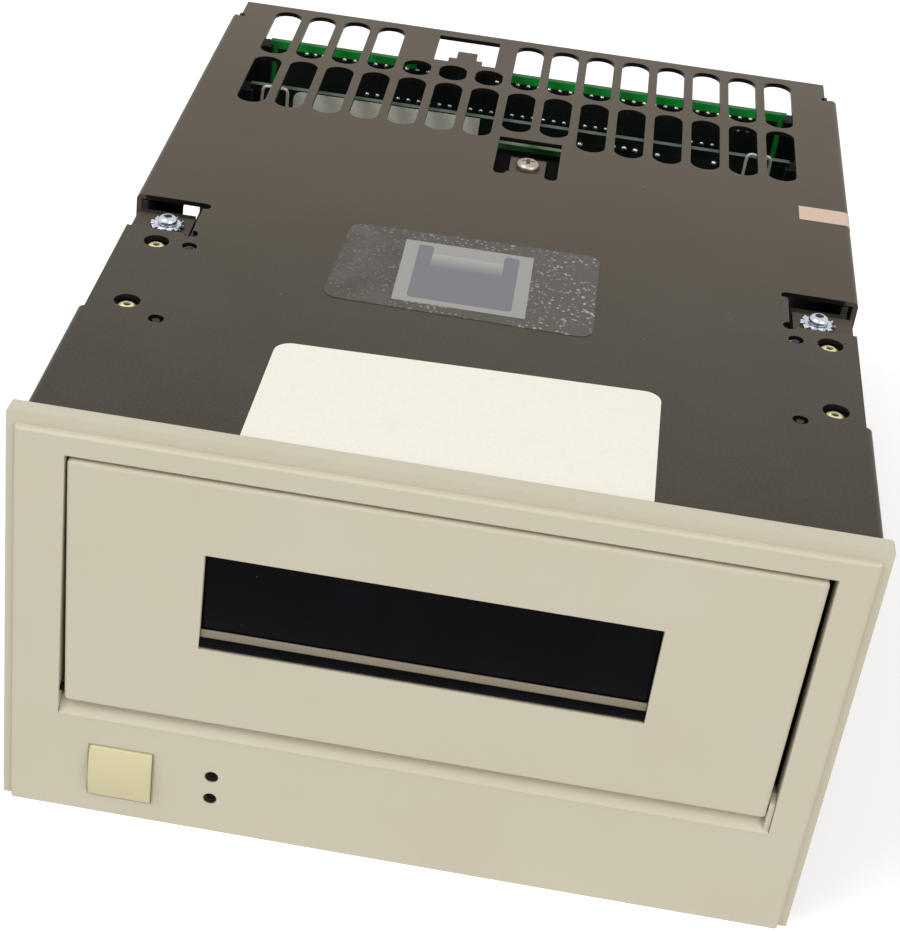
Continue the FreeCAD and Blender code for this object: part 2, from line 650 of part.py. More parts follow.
def make_cassette_holder():
    """Sheet-metal cassette holder: open front, side ledges, sprung top."""
    x0, x1 = holder_sides()
    y0, y1 = HOLDER_Y
    z0, z1 = HOLDER_Z0, HOLDER_Z0 + HOLDER_H
    t = HOLDER_T
    walls = [block(x0, x0 + t, y0, y1, z0, z1), block(x1 - t, x1, y0, y1, z0, z1),
             block(x0, x1, y0, y1, z1 - t, z1),
             block(x0, x0 + 9, y0, y1, z0, z0 + t), block(x1 - 9, x1, y0, y1, z0, z0 + t)]
    stops = [block(x0, x0 + 9, y1 - t, y1, z0, z0 + 7), block(x1 - 9, x1, y1 - t, y1, z0, z0 + 7)]
    holder = join(walls + stops)
    # lightening windows and two pressed spring tongues in the top
    for cx in (-28.0, 28.0):
        u_slot = block(DECK_X + cx - 7, DECK_X + cx + 7, 20, 52, z1 - 2, z1 + 1)
        u_slot = u_slot.cut(block(DECK_X + cx - 5, DECK_X + cx + 5, 19, 50.5, z1 - 2, z1 + 1))
        holder = holder.cut(u_slot)
    holder = holder.cut(block(DECK_X - 12, DECK_X + 12, 24, 60, z1 - 2, z1 + 1))
    return holder


def make_holder_pins():
    """Guide pins riveted to the holder's sides."""
    x0, x1 = holder_sides()
    z = HOLDER_Z0 + 8.8
    pins = []
    for y in (22.0, 60.0):
        pins.append(pin_x(y, z, x0 - 2.6, x0, 1.2))
        pins.append(pin_x(y, z, x1, x1 + 2.6, 1.2))
    return group(pins)


def make_bay_guides():
    """Upright guide plates whose slots steer the holder's pins."""
    x0, x1 = holder_sides()
    z = HOLDER_Z0 + 8.8
    plates = []
    for low, high, foot0, foot1 in ((x0 - 2.2, x0 - 1.2, x0 - 4.0, x0 - 1.2),
                                    (x1 + 1.2, x1 + 2.2, x1 + 1.2, x1 + 4.0)):
        plate = block(low, high, DECK_FRONT, 70.0, DECK_TOP, 63.0)
        foot = block(foot0, foot1, DECK_FRONT + 1, 34.0, DECK_TOP, DECK_TOP + 1.0)
        plate = join([plate, foot])
        plate = round_edges(plate, 3.0, lambda e: runs_along(e, 0) and e.BoundBox.ZMin > 62)
        for y in (22.0, 60.0):
            plate = plate.cut(slot_z(low - 5, high + 5, y, z - HOLDER_LIFT - 1.5, z + 1.5, 2.6))
        plates.append(plate)
    return group(plates)


# ---------------------------------------------------------------------------
# Deck: drum, reels, capstan, loading ring
# ---------------------------------------------------------------------------
def tilt_drum(shape):
    """Lean a drum piece by the helix angle about the drum's foot."""
    shape = shape.copy()
    shape.rotate(V(DECK_X, DRUM_Y, DECK_TOP), V(1, 0, 0), DRUM_TILT)
    return shape


def make_lower_drum():
    """Fixed lower drum with its tape ledge, foot and motor boss."""
    body = post(DECK_X, DRUM_Y, 10.0, 31.0, DRUM_R - 0.2)
    body = body.cut(post(DECK_X, DRUM_Y, 28.0, 40.0, DRUM_R - 4.0))
    body = body.cut(post(DECK_X, DRUM_Y, 0.0, 40.0, 2.6))
    ledge = ring(DECK_X, DRUM_Y, 10.0, 24.0, DRUM_R + 0.6, DRUM_R - 1.0)
    body = tilt_drum(join([body, ledge]))
    keep = block(-60, 60, 60, 140, DECK_TOP, 60)
    return body.common(keep)


def make_upper_drum():
    """Spinning upper drum: rim, hub recess, shaft and three head windows."""
    body = post(DECK_X, DRUM_Y, 31.3, 43.0, DRUM_R)
    body = bevel_edges(body, 0.6, lambda e: e.BoundBox.ZMin > 42.9)
    body = body.cut(ring(DECK_X, DRUM_Y, 40.4, 50.0, 16.0, 7.0))
    for k in range(3):
        a = math.radians(120 * k + 30)
        x, y = DECK_X + 19.6 * math.cos(a), DRUM_Y + 19.6 * math.sin(a)
        body = body.cut(post(x, y, 30.0, 34.4, 1.3))
    for k in range(4):
        a = math.radians(90 * k + 15)
        x, y = DECK_X + 11.5 * math.cos(a), DRUM_Y + 11.5 * math.sin(a)
        body = body.cut(post(x, y, 38.6, 50.0, 1.5))
    shaft = post(DECK_X, DRUM_Y, 22.0, 46.0, 2.5)
    return tilt_drum(join([body, shaft]))


def make_drum_motor():
    """Flat motor under the deck plate that turns the drum shaft."""
    can = post(DECK_X, DRUM_Y, 9.4, 13.4, 16.0)
    boss = post(DECK_X, DRUM_Y, 13.4, DECK_TOP, 10.0)
    return join([can, boss])


def reel_table(x, y):
    """Reel table: disc, toothed rim ring and six-ribbed spindle."""
    disc = post(x, y, 20.4, 23.4, REEL_R)
    disc = bevel_edges(disc, 0.5, lambda e: e.BoundBox.ZMin > 23.3)
    disc = disc.cut(ring(x, y, 22.6, 25.0, 11.0, 6.0))
    spindle = post(x, y, 23.0, 34.0, 2.6)
    cone = Part.makeCone(2.6, 1.2, 2.2, V(x, y, 34.0))
    ribs = []
    for k in range(3):
        rib = block(-3.9, 3.9, -0.5, 0.5, 22.8, 31.5)
        rib.rotate(V(0, 0, 0), V(0, 0, 1), 60 * k)
        rib.translate(V(x, y, 0))
        ribs.append(rib)
    shaft = post(x, y, 13.6, 21.0, 2.0)
    return join([disc, spindle, cone, shaft] + ribs)


def make_supply_reel():
    """Left-hand reel table."""
    return reel_table(*reel_centres()[0])


def make_takeup_reel():
    """Right-hand reel table."""
    return reel_table(*reel_centres()[1])


def make_reel_motors():
    """Two flat reel motors under the deck plate."""
    cans = []
    for x, y in reel_centres():
        can = post(x, y, 9.4, DECK_Z, 15.0)
        cans.append(can.cut(post(x, y, 13.0, 20.0, 2.05)))
    return group(cans)


def make_capstan():
    """Capstan shaft with its flywheel under the deck plate."""
    x, y = CAPSTAN
    wheel = post(x, y, 11.4, 14.6, 11.0)
    wheel = wheel.cut(ring(x, y, 13.4, 20.0, 8.5, 4.0))
    return join([wheel, post(x, y, 14.0, 45.0, CAPSTAN_R)])


def make_capstan_bearing():
    """Flanged bearing that carries the capstan in the deck plate."""
    x, y = CAPSTAN
    sleeve = ring(x, y, DECK_Z, DECK_TOP, 2.2, CAPSTAN_R + 0.04)
    tower = ring(x, y, DECK_TOP, 25.0, 3.6, CAPSTAN_R + 0.04)
    return join([sleeve, tower])


def make_capstan_motor():
    """Flat stator that drives the flywheel."""
    x, y = CAPSTAN
    return post(x, y, 7.6, 11.0, 9.0)


def make_pinch_arm():
    """Pinch arm: hub on the pivot, bent lever and roller pin."""
    px, py = PINCH_PIVOT
    rx, ry = PINCH_ROLLER
    hub = ring(px, py, 22.0, 28.0, 3.4, 1.25)
    length = math.hypot(rx - px, ry - py)
    lever = block(0, length, -2.0, 2.0, 24.0, 26.4)
    lever.rotate(V(0, 0, 0), V(0, 0, 1), math.degrees(math.atan2(ry - py, rx - px)))
    lever.translate(V(px, py, 0))
    lever = lever.fuse(post(rx, ry, 24.0, 26.4, 2.8)).cut(post(px, py, 0, 60, 1.25))
    return join([hub, lever, post(rx, ry, 26.4, 44.4, 1.0)])


def make_pinch_roller():
    """Rubber pinch roller on its sleeve."""
    rx, ry = PINCH_ROLLER
    return ring(rx, ry, 27.0, 43.6, PINCH_R, 1.04)


def make_pinch_pivot():
    """Pivot post of the pinch arm, with its shoulder and retaining cap."""
    px, py = PINCH_PIVOT
    return join([post(px, py, DECK_Z, DECK_TOP, 1.5), post(px, py, DECK_TOP, 21.9, 3.0),
                 post(px, py, 21.9, 29.6, 1.2), post(px, py, 28.2, 29.4, 2.4)])


def involute_tooth(base_angle, pitch_r, outer_r, root_r, half_at_pitch):
    """Outline points of one tooth, root to root, about base_angle."""
    pressure = math.radians(20)
    base_r = pitch_r * math.cos(pressure)
    inv = lambda a: math.tan(a) - a
    left = []
    for k in range(3):
        r = max(root_r, base_r) + (outer_r - max(root_r, base_r)) * k / 2
        a = math.acos(min(1.0, base_r / r))
        half = half_at_pitch + inv(pressure) - inv(a)
        left.append((r, half))
    if root_r < base_r:
        left.insert(0, (root_r, left[0][1]))
    points = [(r, base_angle - half) for r, half in left]
    points += [(r, base_angle + half) for r, half in reversed(left)]
    return [V(r * math.cos(a), r * math.sin(a), 0) for r, a in points]


def spur_gear(teeth, x, y, z0, z1, phase, slack):
    """External gear with involute teeth, thinned by slack for running room."""
    pitch_r = GEAR_MODULE * teeth / 2
    outer_r = pitch_r + GEAR_MODULE * 0.9
    root_r = pitch_r - GEAR_MODULE * 1.25
    half = math.pi / (2 * teeth) - slack / (2 * pitch_r)
    points = []
    for k in range(teeth):
        points += involute_tooth(phase + 2 * math.pi * k / teeth, pitch_r, outer_r, root_r, half)
    points = [p + V(x, y, z0) for p in points]
    return prism(points, V(0, 0, z1 - z0))


def make_loading_ring():
    """Toothed loading ring that carries the tape guide posts round the drum."""
    gear = spur_gear(RING_TEETH, DECK_X, DRUM_Y, 19.0, 21.6, 0.0, 0.12)
    return gear.cut(post(DECK_X, DRUM_Y, 10, 30, 24.5))


def make_guide_posts():
    """Three flanged guide posts that ride on the loading ring."""
    posts = []
    for angle in (-50, -33, -16):
        a = math.radians(angle)
        x, y = DECK_X + 27.2 * math.cos(a), DRUM_Y + 27.2 * math.sin(a)
        stem = post(x, y, 21.6, 42.0, 1.4)
        low = post(x, y, 24.0, 25.0, 2.0)
        high = post(x, y, 41.0, 42.0, 2.0)
        posts.append(join([stem, low, high]))
    return group(posts)


def make_ring_rollers():
    """Three grooved rollers that hold the loading ring to the deck plate."""
    rollers = []
    inner = 24.5
    for angle in (150, 210, 275):
        a = math.radians(angle)
        reach = inner - 1.3
        x, y = DECK_X + reach * math.cos(a), DRUM_Y + reach * math.sin(a)
        rollers.append(join([post(x, y, DECK_TOP, 22.6, 1.1), post(x, y, 21.8, 22.6, 2.0)]))
    return group(rollers)


def make_loading_pinion():
    """Pinion on the loading motor's shaft, in mesh with the ring."""
    x, y = pinion_centre()
    a = math.radians(PINION_ANGLE)
    ring_step = 2 * math.pi / RING_TEETH
    off = (a / ring_step - math.floor(a / ring_step)) * ring_step
    # a tooth gap of the pinion faces the ring tooth nearest the line of centres
    lead = off * RING_TEETH / PINION_TEETH
    phase = a + math.pi + math.pi / PINION_TEETH + lead
    gear = spur_gear(PINION_TEETH, x, y, 19.2, 21.4, phase, 0.12)
    return join([gear, post(x, y, 21.0, 25.4, 1.0)])


def make_loading_motor():
    """Small can motor over the pinion, on its pressed bracket."""
    x, y = pinion_centre()
    can = post(x, y, 24.0, 44.0, 5.2)
    can = bevel_edges(can, 0.6, lambda e: e.BoundBox.ZMin > 43.9)
    can = can.cut(post(x, y, 20.0, 30.0, 1.05))
    plate = block(x - 5.0, x + 16.0, y - 4.0, y + 5.0, 23.0, 24.0)
    plate = plate.cut(post(x, y, 20.0, 30.0, 1.6))
    leg = block(x + 15.0, x + 16.0, y - 4.0, y + 5.0, DECK_TOP, 24.0)
    foot = block(x + 15.0, x + 22.0, y - 4.0, y + 5.0, DECK_TOP, DECK_TOP + 1.0)
    return join([can, plate, leg, foot])


def make_tape_guides():
    """Fixed entry and exit guides on the deck plate."""
    guides = []
    for x, y in ((-33.5, 91.5), (-36.5, 108.0), (37.8, 80.5)):
        guides.append(join([post(x, y, DECK_TOP, 43.0, 1.3), post(x, y, DECK_TOP, 26.0, 2.3),
                            post(x, y, 41.4, 42.4, 2.3)]))
    return group(guides)


# ---------------------------------------------------------------------------
# Circuit boards
# ---------------------------------------------------------------------------
def upright_board(y):
    """One card across the chassis, with its lower corners cut away beside the socket."""
    z0, z1 = BOARD_Z
    card = block(-BOARD_HALF_W, BOARD_HALF_W, y, y + BOARD_T, z0, z1)
    for side in (-1, 1):
        x0, x1 = sorted((side * (BOARD_HALF_W - 3), side * (BOARD_HALF_W + 1)))
        card = card.cut(block(x0, x1, y - 1, y + 3, z0 - 1, z0 + 1.6))
    return card


def chips(y, facing, places):
    """Chip bodies on a card face: centre X, centre Z, width, height, thickness."""
    bodies = []
    for x, z, w, h, t in places:
        y0, y1 = (y - t, y) if facing < 0 else (y, y + t)
        bodies.append(block(x - w / 2, x + w / 2, y0, y1, z - h / 2, z + h / 2))
    return group(bodies)


def make_base_board():
    """Main board on the chassis floor, with four screw holes."""
    board = block(-66.0, 66.0, 20.0, 186.0, BASE_Z, BASE_Z + BOARD_T)
    for x in (-62.0, 62.0):
        for y in (26.0, 180.0):
            board = board.cut(post(x, y, 0, 20, 1.6))
    return board


def make_board_standoffs():
    """Four spacers between the chassis floor and the main board."""
    low, across = TUB_BOTTOM + TUB_T, 3.2
    corners = [V(across * math.cos(math.radians(60 * k)), across * math.sin(math.radians(60 * k)), low)
               for k in range(6)]
    spacers = []
    for x in (-62.0, 62.0):
        for y in (26.0, 180.0):
            hexagon = prism([p + V(x, y, 0) for p in corners], V(0, 0, BASE_Z - low))
            spacers.append(hexagon.cut(post(x, y, 0, 9, 1.3)))
    return group(spacers)


def make_board_screws():
    """Screws of the main board."""
    z = BASE_Z + BOARD_T
    return group([pan_screw(x, y, z, 2.6, 1.6, 1.25, 4.0)
                  for x in (-62.0, 62.0) for y in (26.0, 180.0)])


def make_card_sockets():
    """Sockets on the main board that the three cards stand in."""
    z = BASE_Z + BOARD_T
    sockets = []
    for y in (FRONT_CARD_Y, MIDDLE_CARD_Y):
        sockets.append(block(-42.0, 42.0, y - 2.2, y + BOARD_T + 2.2, z, BOARD_Z[0]))
    return group(sockets)


def make_front_card():
    """Card nearest the deck."""
    return upright_board(FRONT_CARD_Y)


def make_middle_card():
    """Middle card."""
    return upright_board(MIDDLE_CARD_Y)


def make_rear_card():
    """Rear card, which carries the host connectors."""
    return upright_board(REAR_CARD_Y)


def make_front_card_parts():
    """Chips and capacitors on the front card."""
    y = FRONT_CARD_Y
    places = [(-44, 58, 24, 10, 3.2), (-14, 62, 20, 9, 3.2), (6, 71, 7, 9, 4.2),
              (26, 60, 22, 22, 2.6), (-30, 34, 22, 22, 2.6), (8, 36, 26, 10, 3.2),
              (42, 34, 14, 9, 3.2)]
    return chips(y, -1, places)


def make_middle_card_parts():
    """Chips on the rear face of the middle card."""
    places = [(-38, 56, 24, 24, 2.6), (-6, 60, 26, 10, 3.2), (24, 60, 20, 8, 3.2),
              (50, 60, 14, 8, 3.2), (-20, 32, 28, 10, 3.2), (20, 32, 24, 10, 3.2)]
    return chips(MIDDLE_CARD_Y + BOARD_T, 1, places)


def make_rear_card_parts():
    """Row of dual-in-line packages and larger chips on the rear face of the rear card."""
    places = []
    for first, columns in DIP_ROW:
        width = PIN_PITCH * (columns - 1)
        places.append((first + width / 2, DIP_Z, width + 1.8, 6.4, 3.4))
    places += [(-40, 52, 22, 22, 2.6), (-8, 56, 26, 10, 3.2), (28, 52, 24, 24, 2.6)]
    return chips(REAR_CARD_Y + BOARD_T, 1, places)


def square_pin(x, y0, y1, z):
    """Square contact pin of 0.64 mm wire."""
    return block(x - 0.32, x + 0.32, y0, y1, z - 0.32, z + 0.32)


def make_host_connector():
    """Shroud of the fifty-way header on the rear card, with its key slot."""
    y = REAR_CARD_Y + BOARD_T
    shroud = block(-40.0, 34.0, y, y + 9.0, 16.0, 25.0)
    shroud = shroud.cut(block(-38.6, 32.6, y + 2.0, y + 10.0, 17.3, 23.7))
    return shroud.cut(block(-5.2, -0.8, y + 2.0, y + 10.0, 22.0, 26.0))


def make_power_inlet():
    """Shell of the four-pin power inlet on the rear card."""
    y = REAR_CARD_Y + BOARD_T
    shell = block(38.5, 60.5, y, y + 9.4, 15.0, 25.0)
    shell = bevel_edges(shell, 2.2, lambda e: runs_along(e, 1) and e.BoundBox.ZMin > 24)
    return shell.cut(block(40.0, 59.0, y + 1.6, y + 10.0, 16.4, 22.6))


def make_address_jumpers():
    """Base of the address jumper pins, with one shorting block on it."""
    y = REAR_CARD_Y + BOARD_T
    base = block(-58.0, -45.0, y, y + 2.5, 17.0, 22.2)
    cap = block(-57.6, -55.4, y + 2.5, y + 9.0, 17.2, 22.0)
    return join([base, cap])


def make_connector_pins():
    """Contact pins of the header, the power inlet and the open jumpers."""
    y = REAR_CARD_Y + BOARD_T
    pins = []
    for k in range(25):
        for z in (19.23, 21.77):
            pins.append(square_pin(-33.5 + 2.54 * k, y + 2.0, y + 8.0, z))
    for k in range(4):
        pins.append(pin_y(41.9 + 5.08 * k, 19.5, y + 1.6, y + 8.4, 1.05))
    for k in range(1, 5):
        for z in (18.3, 20.9):
            pins.append(square_pin(-56.5 + 2.54 * k, y + 2.5, y + 8.5, z))
    return group(pins)


def make_card_guides():
    """Grooved plastic guides that hold the ends of the three cards."""
    guides = []
    for side in (-1, 1):
        x0, x1 = sorted((side * (BOARD_HALF_W - 0.8), side * (HALF_W - JOGGLE - TUB_T)))
        for y in (FRONT_CARD_Y, MIDDLE_CARD_Y, REAR_CARD_Y):
            rail = block(x0, x1, y - 1.5, y + BOARD_T + 1.5, 14.0, 79.0)
            g0, g1 = sorted((side * (BOARD_HALF_W - 3), side * (BOARD_HALF_W)))
            rail = rail.cut(block(g0, g1, y, y + BOARD_T, 10.0, 80.0))
            if y != REAR_CARD_Y:
                # the two inner guides reach the wall by a foot and a head only
                w0, w1 = sorted((side * (BOARD_HALF_W + 2.5), side * 80))
                rail = rail.cut(block(w0, w1, y - 2, y + BOARD_T + 2, 20.0, 73.0))
            guides.append(rail)
    return group(guides)


def make_card_bails():
    """Two upright wire bails in clamps on the middle card's front face."""
    bails = []
    y = MIDDLE_CARD_Y - 1.2
    for cx in BAIL_X:
        route = [V(cx - 3.05, y, 65.0), V(cx - 3.05, y, 80.0), V(cx - 2.2, y, 81.1),
                 V(cx + 2.2, y, 81.1), V(cx + 3.05, y, 80.0), V(cx + 3.05, y, 65.0)]
        clamp = block(cx - 5.0, cx + 5.0, MIDDLE_CARD_Y - 2.2, MIDDLE_CARD_Y, 63.0, 66.6)
        bails.append(join([clamp, bent_wire(route, 0.35)]))
    return group(bails)


def bent_wire(route, r):
    """Round wire along a route of straight runs, mitred at the bends."""
    path = Part.makePolygon(route)
    section = Part.Wire([Part.makeCircle(r, route[0], route[1] - route[0])])
    mitred = 1
    return path.makePipeShell([section], True, False, mitred)


def make_deck_ribbon():
    """Flat cable from the main board up to the deck's rear edge."""
    y0 = 143.6
    strip = block(18.0, 44.0, y0, y0 + 0.6, BASE_Z + BOARD_T + 5.0, 50.0)
    plug = block(17.0, 45.0, y0 - 1.6, y0 + 2.4, BASE_Z + BOARD_T, BASE_Z + BOARD_T + 5.0)
    top = block(18.0, 44.0, 136.0, y0 + 0.6, 50.0, 50.6)
    head = block(17.0, 45.0, 134.0, 137.6, DECK_TOP, 50.0)
    return join([strip, plug, top, head])


MAKERS = {
    "chassis_tub": make_chassis_tub,
    "front_frame": make_front_frame,
    "top_cover": make_top_cover,
    "cross_brace": make_cross_brace,
    "cover_screws": make_cover_screws,
    "star_washers": make_star_washers,
    "bezel": make_bezel,
    "door": make_door,
    "door_window": make_window,
    "door_pins": make_door_pins,
    "door_spring": make_door_spring,
    "latch_catches": make_latch_catch,
    "unload_button": make_unload_button,
    "front_board": make_front_board,
    "button_switch": make_button_switch,
    "lamps": make_lamps,
    "deck_plate": make_deck_plate,
    "side_rails": make_side_rails,
    "rail_screws": make_rail_screws,
    "shock_grommets": make_shock_grommets,
    "rail_posts": make_rail_posts,
    "cassette_holder": make_cassette_holder,
    "holder_pins": make_holder_pins,
    "bay_guides": make_bay_guides,
    "lower_drum": make_lower_drum,
    "upper_drum": make_upper_drum,
    "drum_motor": make_drum_motor,
    "supply_reel": make_supply_reel,
    "takeup_reel": make_takeup_reel,
    "reel_motors": make_reel_motors,
    "capstan": make_capstan,
    "capstan_bearing": make_capstan_bearing,
    "capstan_motor": make_capstan_motor,
    "pinch_arm": make_pinch_arm,
    "pinch_roller": make_pinch_roller,
    "pinch_pivot": make_pinch_pivot,
    "loading_ring": make_loading_ring,
    "guide_posts": make_guide_posts,
    "ring_rollers": make_ring_rollers,
    "loading_pinion": make_loading_pinion,
    "loading_motor": make_loading_motor,
    "tape_guides": make_tape_guides,
    "base_board": make_base_board,
    "board_standoffs": make_board_standoffs,
    "board_screws": make_board_screws,
    "card_sockets": make_card_sockets,
    "front_card": make_front_card,
    "front_card_parts": make_front_card_parts,
    "middle_card": make_middle_card,
    "middle_card_parts": make_middle_card_parts,
    "rear_card": make_rear_card,
    "rear_card_parts": make_rear_card_parts,
    "host_connector": make_host_connector,
    "connector_pins": make_connector_pins,
    "power_inlet": make_power_inlet,
    "address_jumpers": make_address_jumpers,
    "card_guides": make_card_guides,
    "card_bails": make_card_bails,
    "deck_ribbon": make_deck_ribbon,
}


def save(name, shape):
    """Move a piece into the origin's frame and write it."""
    shape = shape.copy()
    shape.translate(FRAME_SHIFT)
    if not shape.isValid():
        print("not valid:", name)
    shape.exportStep("parts/" + name + ".step")


def main():
    """Build and write every piece."""
    os.makedirs("parts", exist_ok=True)
    for name, make in MAKERS.items():
        save(name, make())


main()
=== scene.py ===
"""Looks of a full-height data tape drive, dressed over its construction model.

Sizes are millimetres in the drive's own frame: X = 0 on the middle of the bezel, Y = 0 on the
bezel's front face and growing to the rear, Z = 0 on the bezel's bottom edge.
"""
import json
import logging
import math
from contextlib import contextmanager
from dataclasses import dataclass
from enum import Enum
from typing import Callable, Iterator, Sequence

import bmesh
import bpy
from mathutils import Matrix, Vector

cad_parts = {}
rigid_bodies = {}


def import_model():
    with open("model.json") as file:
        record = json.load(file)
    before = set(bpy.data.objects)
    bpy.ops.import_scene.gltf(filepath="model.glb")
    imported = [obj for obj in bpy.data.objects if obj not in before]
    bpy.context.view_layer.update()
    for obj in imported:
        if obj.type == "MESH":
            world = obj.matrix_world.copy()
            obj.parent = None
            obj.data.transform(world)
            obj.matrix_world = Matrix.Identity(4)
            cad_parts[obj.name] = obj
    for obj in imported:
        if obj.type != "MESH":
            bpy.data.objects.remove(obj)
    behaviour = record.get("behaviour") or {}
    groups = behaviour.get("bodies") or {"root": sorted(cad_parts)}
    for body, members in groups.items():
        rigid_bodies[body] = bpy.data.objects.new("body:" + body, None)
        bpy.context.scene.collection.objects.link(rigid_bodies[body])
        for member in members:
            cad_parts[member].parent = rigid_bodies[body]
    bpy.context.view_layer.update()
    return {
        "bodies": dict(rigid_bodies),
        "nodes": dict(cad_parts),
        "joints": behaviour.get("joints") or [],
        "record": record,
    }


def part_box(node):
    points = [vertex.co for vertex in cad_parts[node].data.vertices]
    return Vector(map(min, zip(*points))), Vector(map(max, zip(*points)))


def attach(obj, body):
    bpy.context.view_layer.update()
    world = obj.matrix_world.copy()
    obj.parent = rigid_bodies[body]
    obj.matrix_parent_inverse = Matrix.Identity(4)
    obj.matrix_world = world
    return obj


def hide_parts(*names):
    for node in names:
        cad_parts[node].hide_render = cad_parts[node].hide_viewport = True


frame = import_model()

LOG = logging.getLogger("tape_drive")
MM = 0.001

Colour = tuple[float, float, float]
Span = tuple[float, float]
Point = tuple[float, float, float]
Socket = bpy.types.NodeSocket


class Axis(Enum):
    """Directions a round piece can stand along, with the turn that gets it there."""

    X = (0.0, math.pi / 2, 0.0)
    Y = (math.pi / 2, 0.0, 0.0)
    Z = (0.0, 0.0, 0.0)


class Body(Enum):
    """Moving bodies of the drive that new pieces ride on."""

    CHASSIS = "chassis"
    DOOR = "door"
    BUTTON = "button"


def display(red: int, green: int, blue: int) -> Colour:
    """Linear colour from display values of 0 to 255."""
    def linear(value: int) -> float:
        """Linear share of one display value."""
        share = value / 255
        return share / 12.92 if share <= 0.04045 else ((share + 0.055) / 1.055) ** 2.4
    return linear(red), linear(green), linear(blue)


def front_of_drive() -> float:
    """Y of the bezel's front face in the construction model, in metres."""
    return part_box("bezel")[0].y


# ---------------------------------------------------------------------------------------------
# Finishes
# ---------------------------------------------------------------------------------------------
class Graph:
    """Node tree of one material, with short calls for adding and joining nodes."""

    def __init__(self, name: str) -> None:
        """Start a material with a principled shader on its output."""
        self.material = bpy.data.materials.new(name)
        self.material.use_nodes = True
        self.tree = self.material.node_tree
        self.tree.nodes.clear()
        self.shader = self.node("ShaderNodeBsdfPrincipled")
        output = self.node("ShaderNodeOutputMaterial")
        self.join(self.shader.outputs["BSDF"], output.inputs["Surface"])
        self.place = self.node("ShaderNodeTexCoord").outputs["Object"]

    def node(self, kind: str, **settings: object) -> bpy.types.Node:
        """Add a node and set its attributes."""
        made = self.tree.nodes.new(kind)
        for name, value in settings.items():
            setattr(made, name, value)
        return made

    def join(self, source: Socket, target: Socket) -> None:
        """Link an output to an input."""
        self.tree.links.new(source, target)

    def feed(self, target: Socket, value: object) -> None:
        """Give an input a link or a constant."""
        if isinstance(value, bpy.types.NodeSocket):
            self.join(value, target)
        elif isinstance(value, tuple) and len(value) == 3 and target.type == "RGBA":
            target.default_value = (*value, 1.0)
        else:
            target.default_value = value

    def set(self, **values: object) -> None:
        """Give the shader's inputs constants or links, by name with underscores for spaces."""
        for name, value in values.items():
            self.feed(self.shader.inputs[name.replace("_", " ")], value)

    def stretched(self, scale: Point, offset: Point = (0, 0, 0)) -> Socket:
        """Object coordinates, moved and stretched.

        Args:
            scale: factor along X, Y and Z.
            offset: shift in metres, before the factor.

        Returns:
            The stretched vector.
        """
        mapping = self.node("ShaderNodeMapping", vector_type="POINT")
        self.join(self.place, mapping.inputs["Vector"])
        mapping.inputs["Scale"].default_value = scale
        mapping.inputs["Location"].default_value = [o * s for o, s in zip(offset, scale)]
        return mapping.outputs["Vector"]

    def noise(self, grain_mm: float, detail: float = 2.0, where: Socket | None = None) -> Socket:
        """Soft noise whose patches are about grain_mm wide."""
        made = self.node("ShaderNodeTexNoise")
        self.join(where or self.place, made.inputs["Vector"])
        made.inputs["Scale"].default_value = 1 / (grain_mm * MM)
        made.inputs["Detail"].default_value = detail
        return made.outputs["Fac"]

    def specks(self, pitch_mm: float, size: float, where: Socket | None = None) -> Socket:
        """Small round specks: 1 inside, 0 outside.

        Args:
            pitch_mm: mean distance between specks.
            size: radius of a speck as a share of the pitch.
            where: vector to read in place of object coordinates.

        Returns:
            The mask.
        """
        cells = self.node("ShaderNodeTexVoronoi", feature="F1")
        self.join(where or self.place, cells.inputs["Vector"])
        cells.inputs["Scale"].default_value = 1 / (pitch_mm * MM)
        cells.inputs["Randomness"].default_value = 1.0
        return self.ramp(cells.outputs["Distance"], [(size * 0.6, 1.0), (size, 0.0)])

    def ramp(self, value: Socket, stops: Sequence[tuple[float, float]]) -> Socket:
        """Remap a value through grey stops of (position, level)."""
        made = self.node("ShaderNodeValToRGB")
        self.join(value, made.inputs["Fac"])
        points = made.color_ramp.elements
        while len(points) < len(stops):
            points.new(0.5)
        for point, (position, level) in zip(points, sorted(stops)):
            point.position = position
            point.color = (level, level, level, 1.0)
        return made.outputs["Color"]

    def mix(self, share: object, first: object, second: object, blend: str = "MIX") -> Socket:
        """Mix two colours or links by a share."""
        made = self.node("ShaderNodeMix", data_type="RGBA", blend_type=blend)
        self.feed(made.inputs[0], share)
        self.feed(made.inputs[6], first)
        self.feed(made.inputs[7], second)
        return made.outputs[2]

    def maths(self, operation: str, first: object, second: object = 0.0) -> Socket:
        """One arithmetic step on two values."""
        made = self.node("ShaderNodeMath", operation=operation)
        self.feed(made.inputs[0], first)
        self.feed(made.inputs[1], second)
        return made.outputs[0]

    def times(self, first: object, second: object) -> Socket:
        """Product of two values."""
        return self.maths("MULTIPLY", first, second)

    def vary(self, pattern: Socket, low: float, spread: float) -> Socket:
        """Value that follows a pattern from low to low + spread."""
        return self.maths("ADD", self.times(self.between(pattern, 0.2, 0.8), spread), low)

    def along(self, axis: str) -> Socket:
        """One object coordinate, in metres."""
        split = self.node("ShaderNodeSeparateXYZ")
        self.join(self.place, split.inputs[0])
        return split.outputs[axis]

    def faces(self, axis: str) -> Socket:
        """How squarely the surface faces along an axis, either way: 0 to 1."""
        split = self.node("ShaderNodeSeparateXYZ")
        self.join(self.node("ShaderNodeNewGeometry").outputs["Normal"], split.inputs[0])
        return self.maths("ABSOLUTE", split.outputs[axis])

    def between(self, value: Socket, low: float, high: float) -> Socket:
        """Share from 0 at low to 1 at high."""
        made = self.node("ShaderNodeMapRange", clamp=True)
        self.join(value, made.inputs["Value"])
        made.inputs["From Min"].default_value = low
        made.inputs["From Max"].default_value = high
        return made.outputs["Result"]

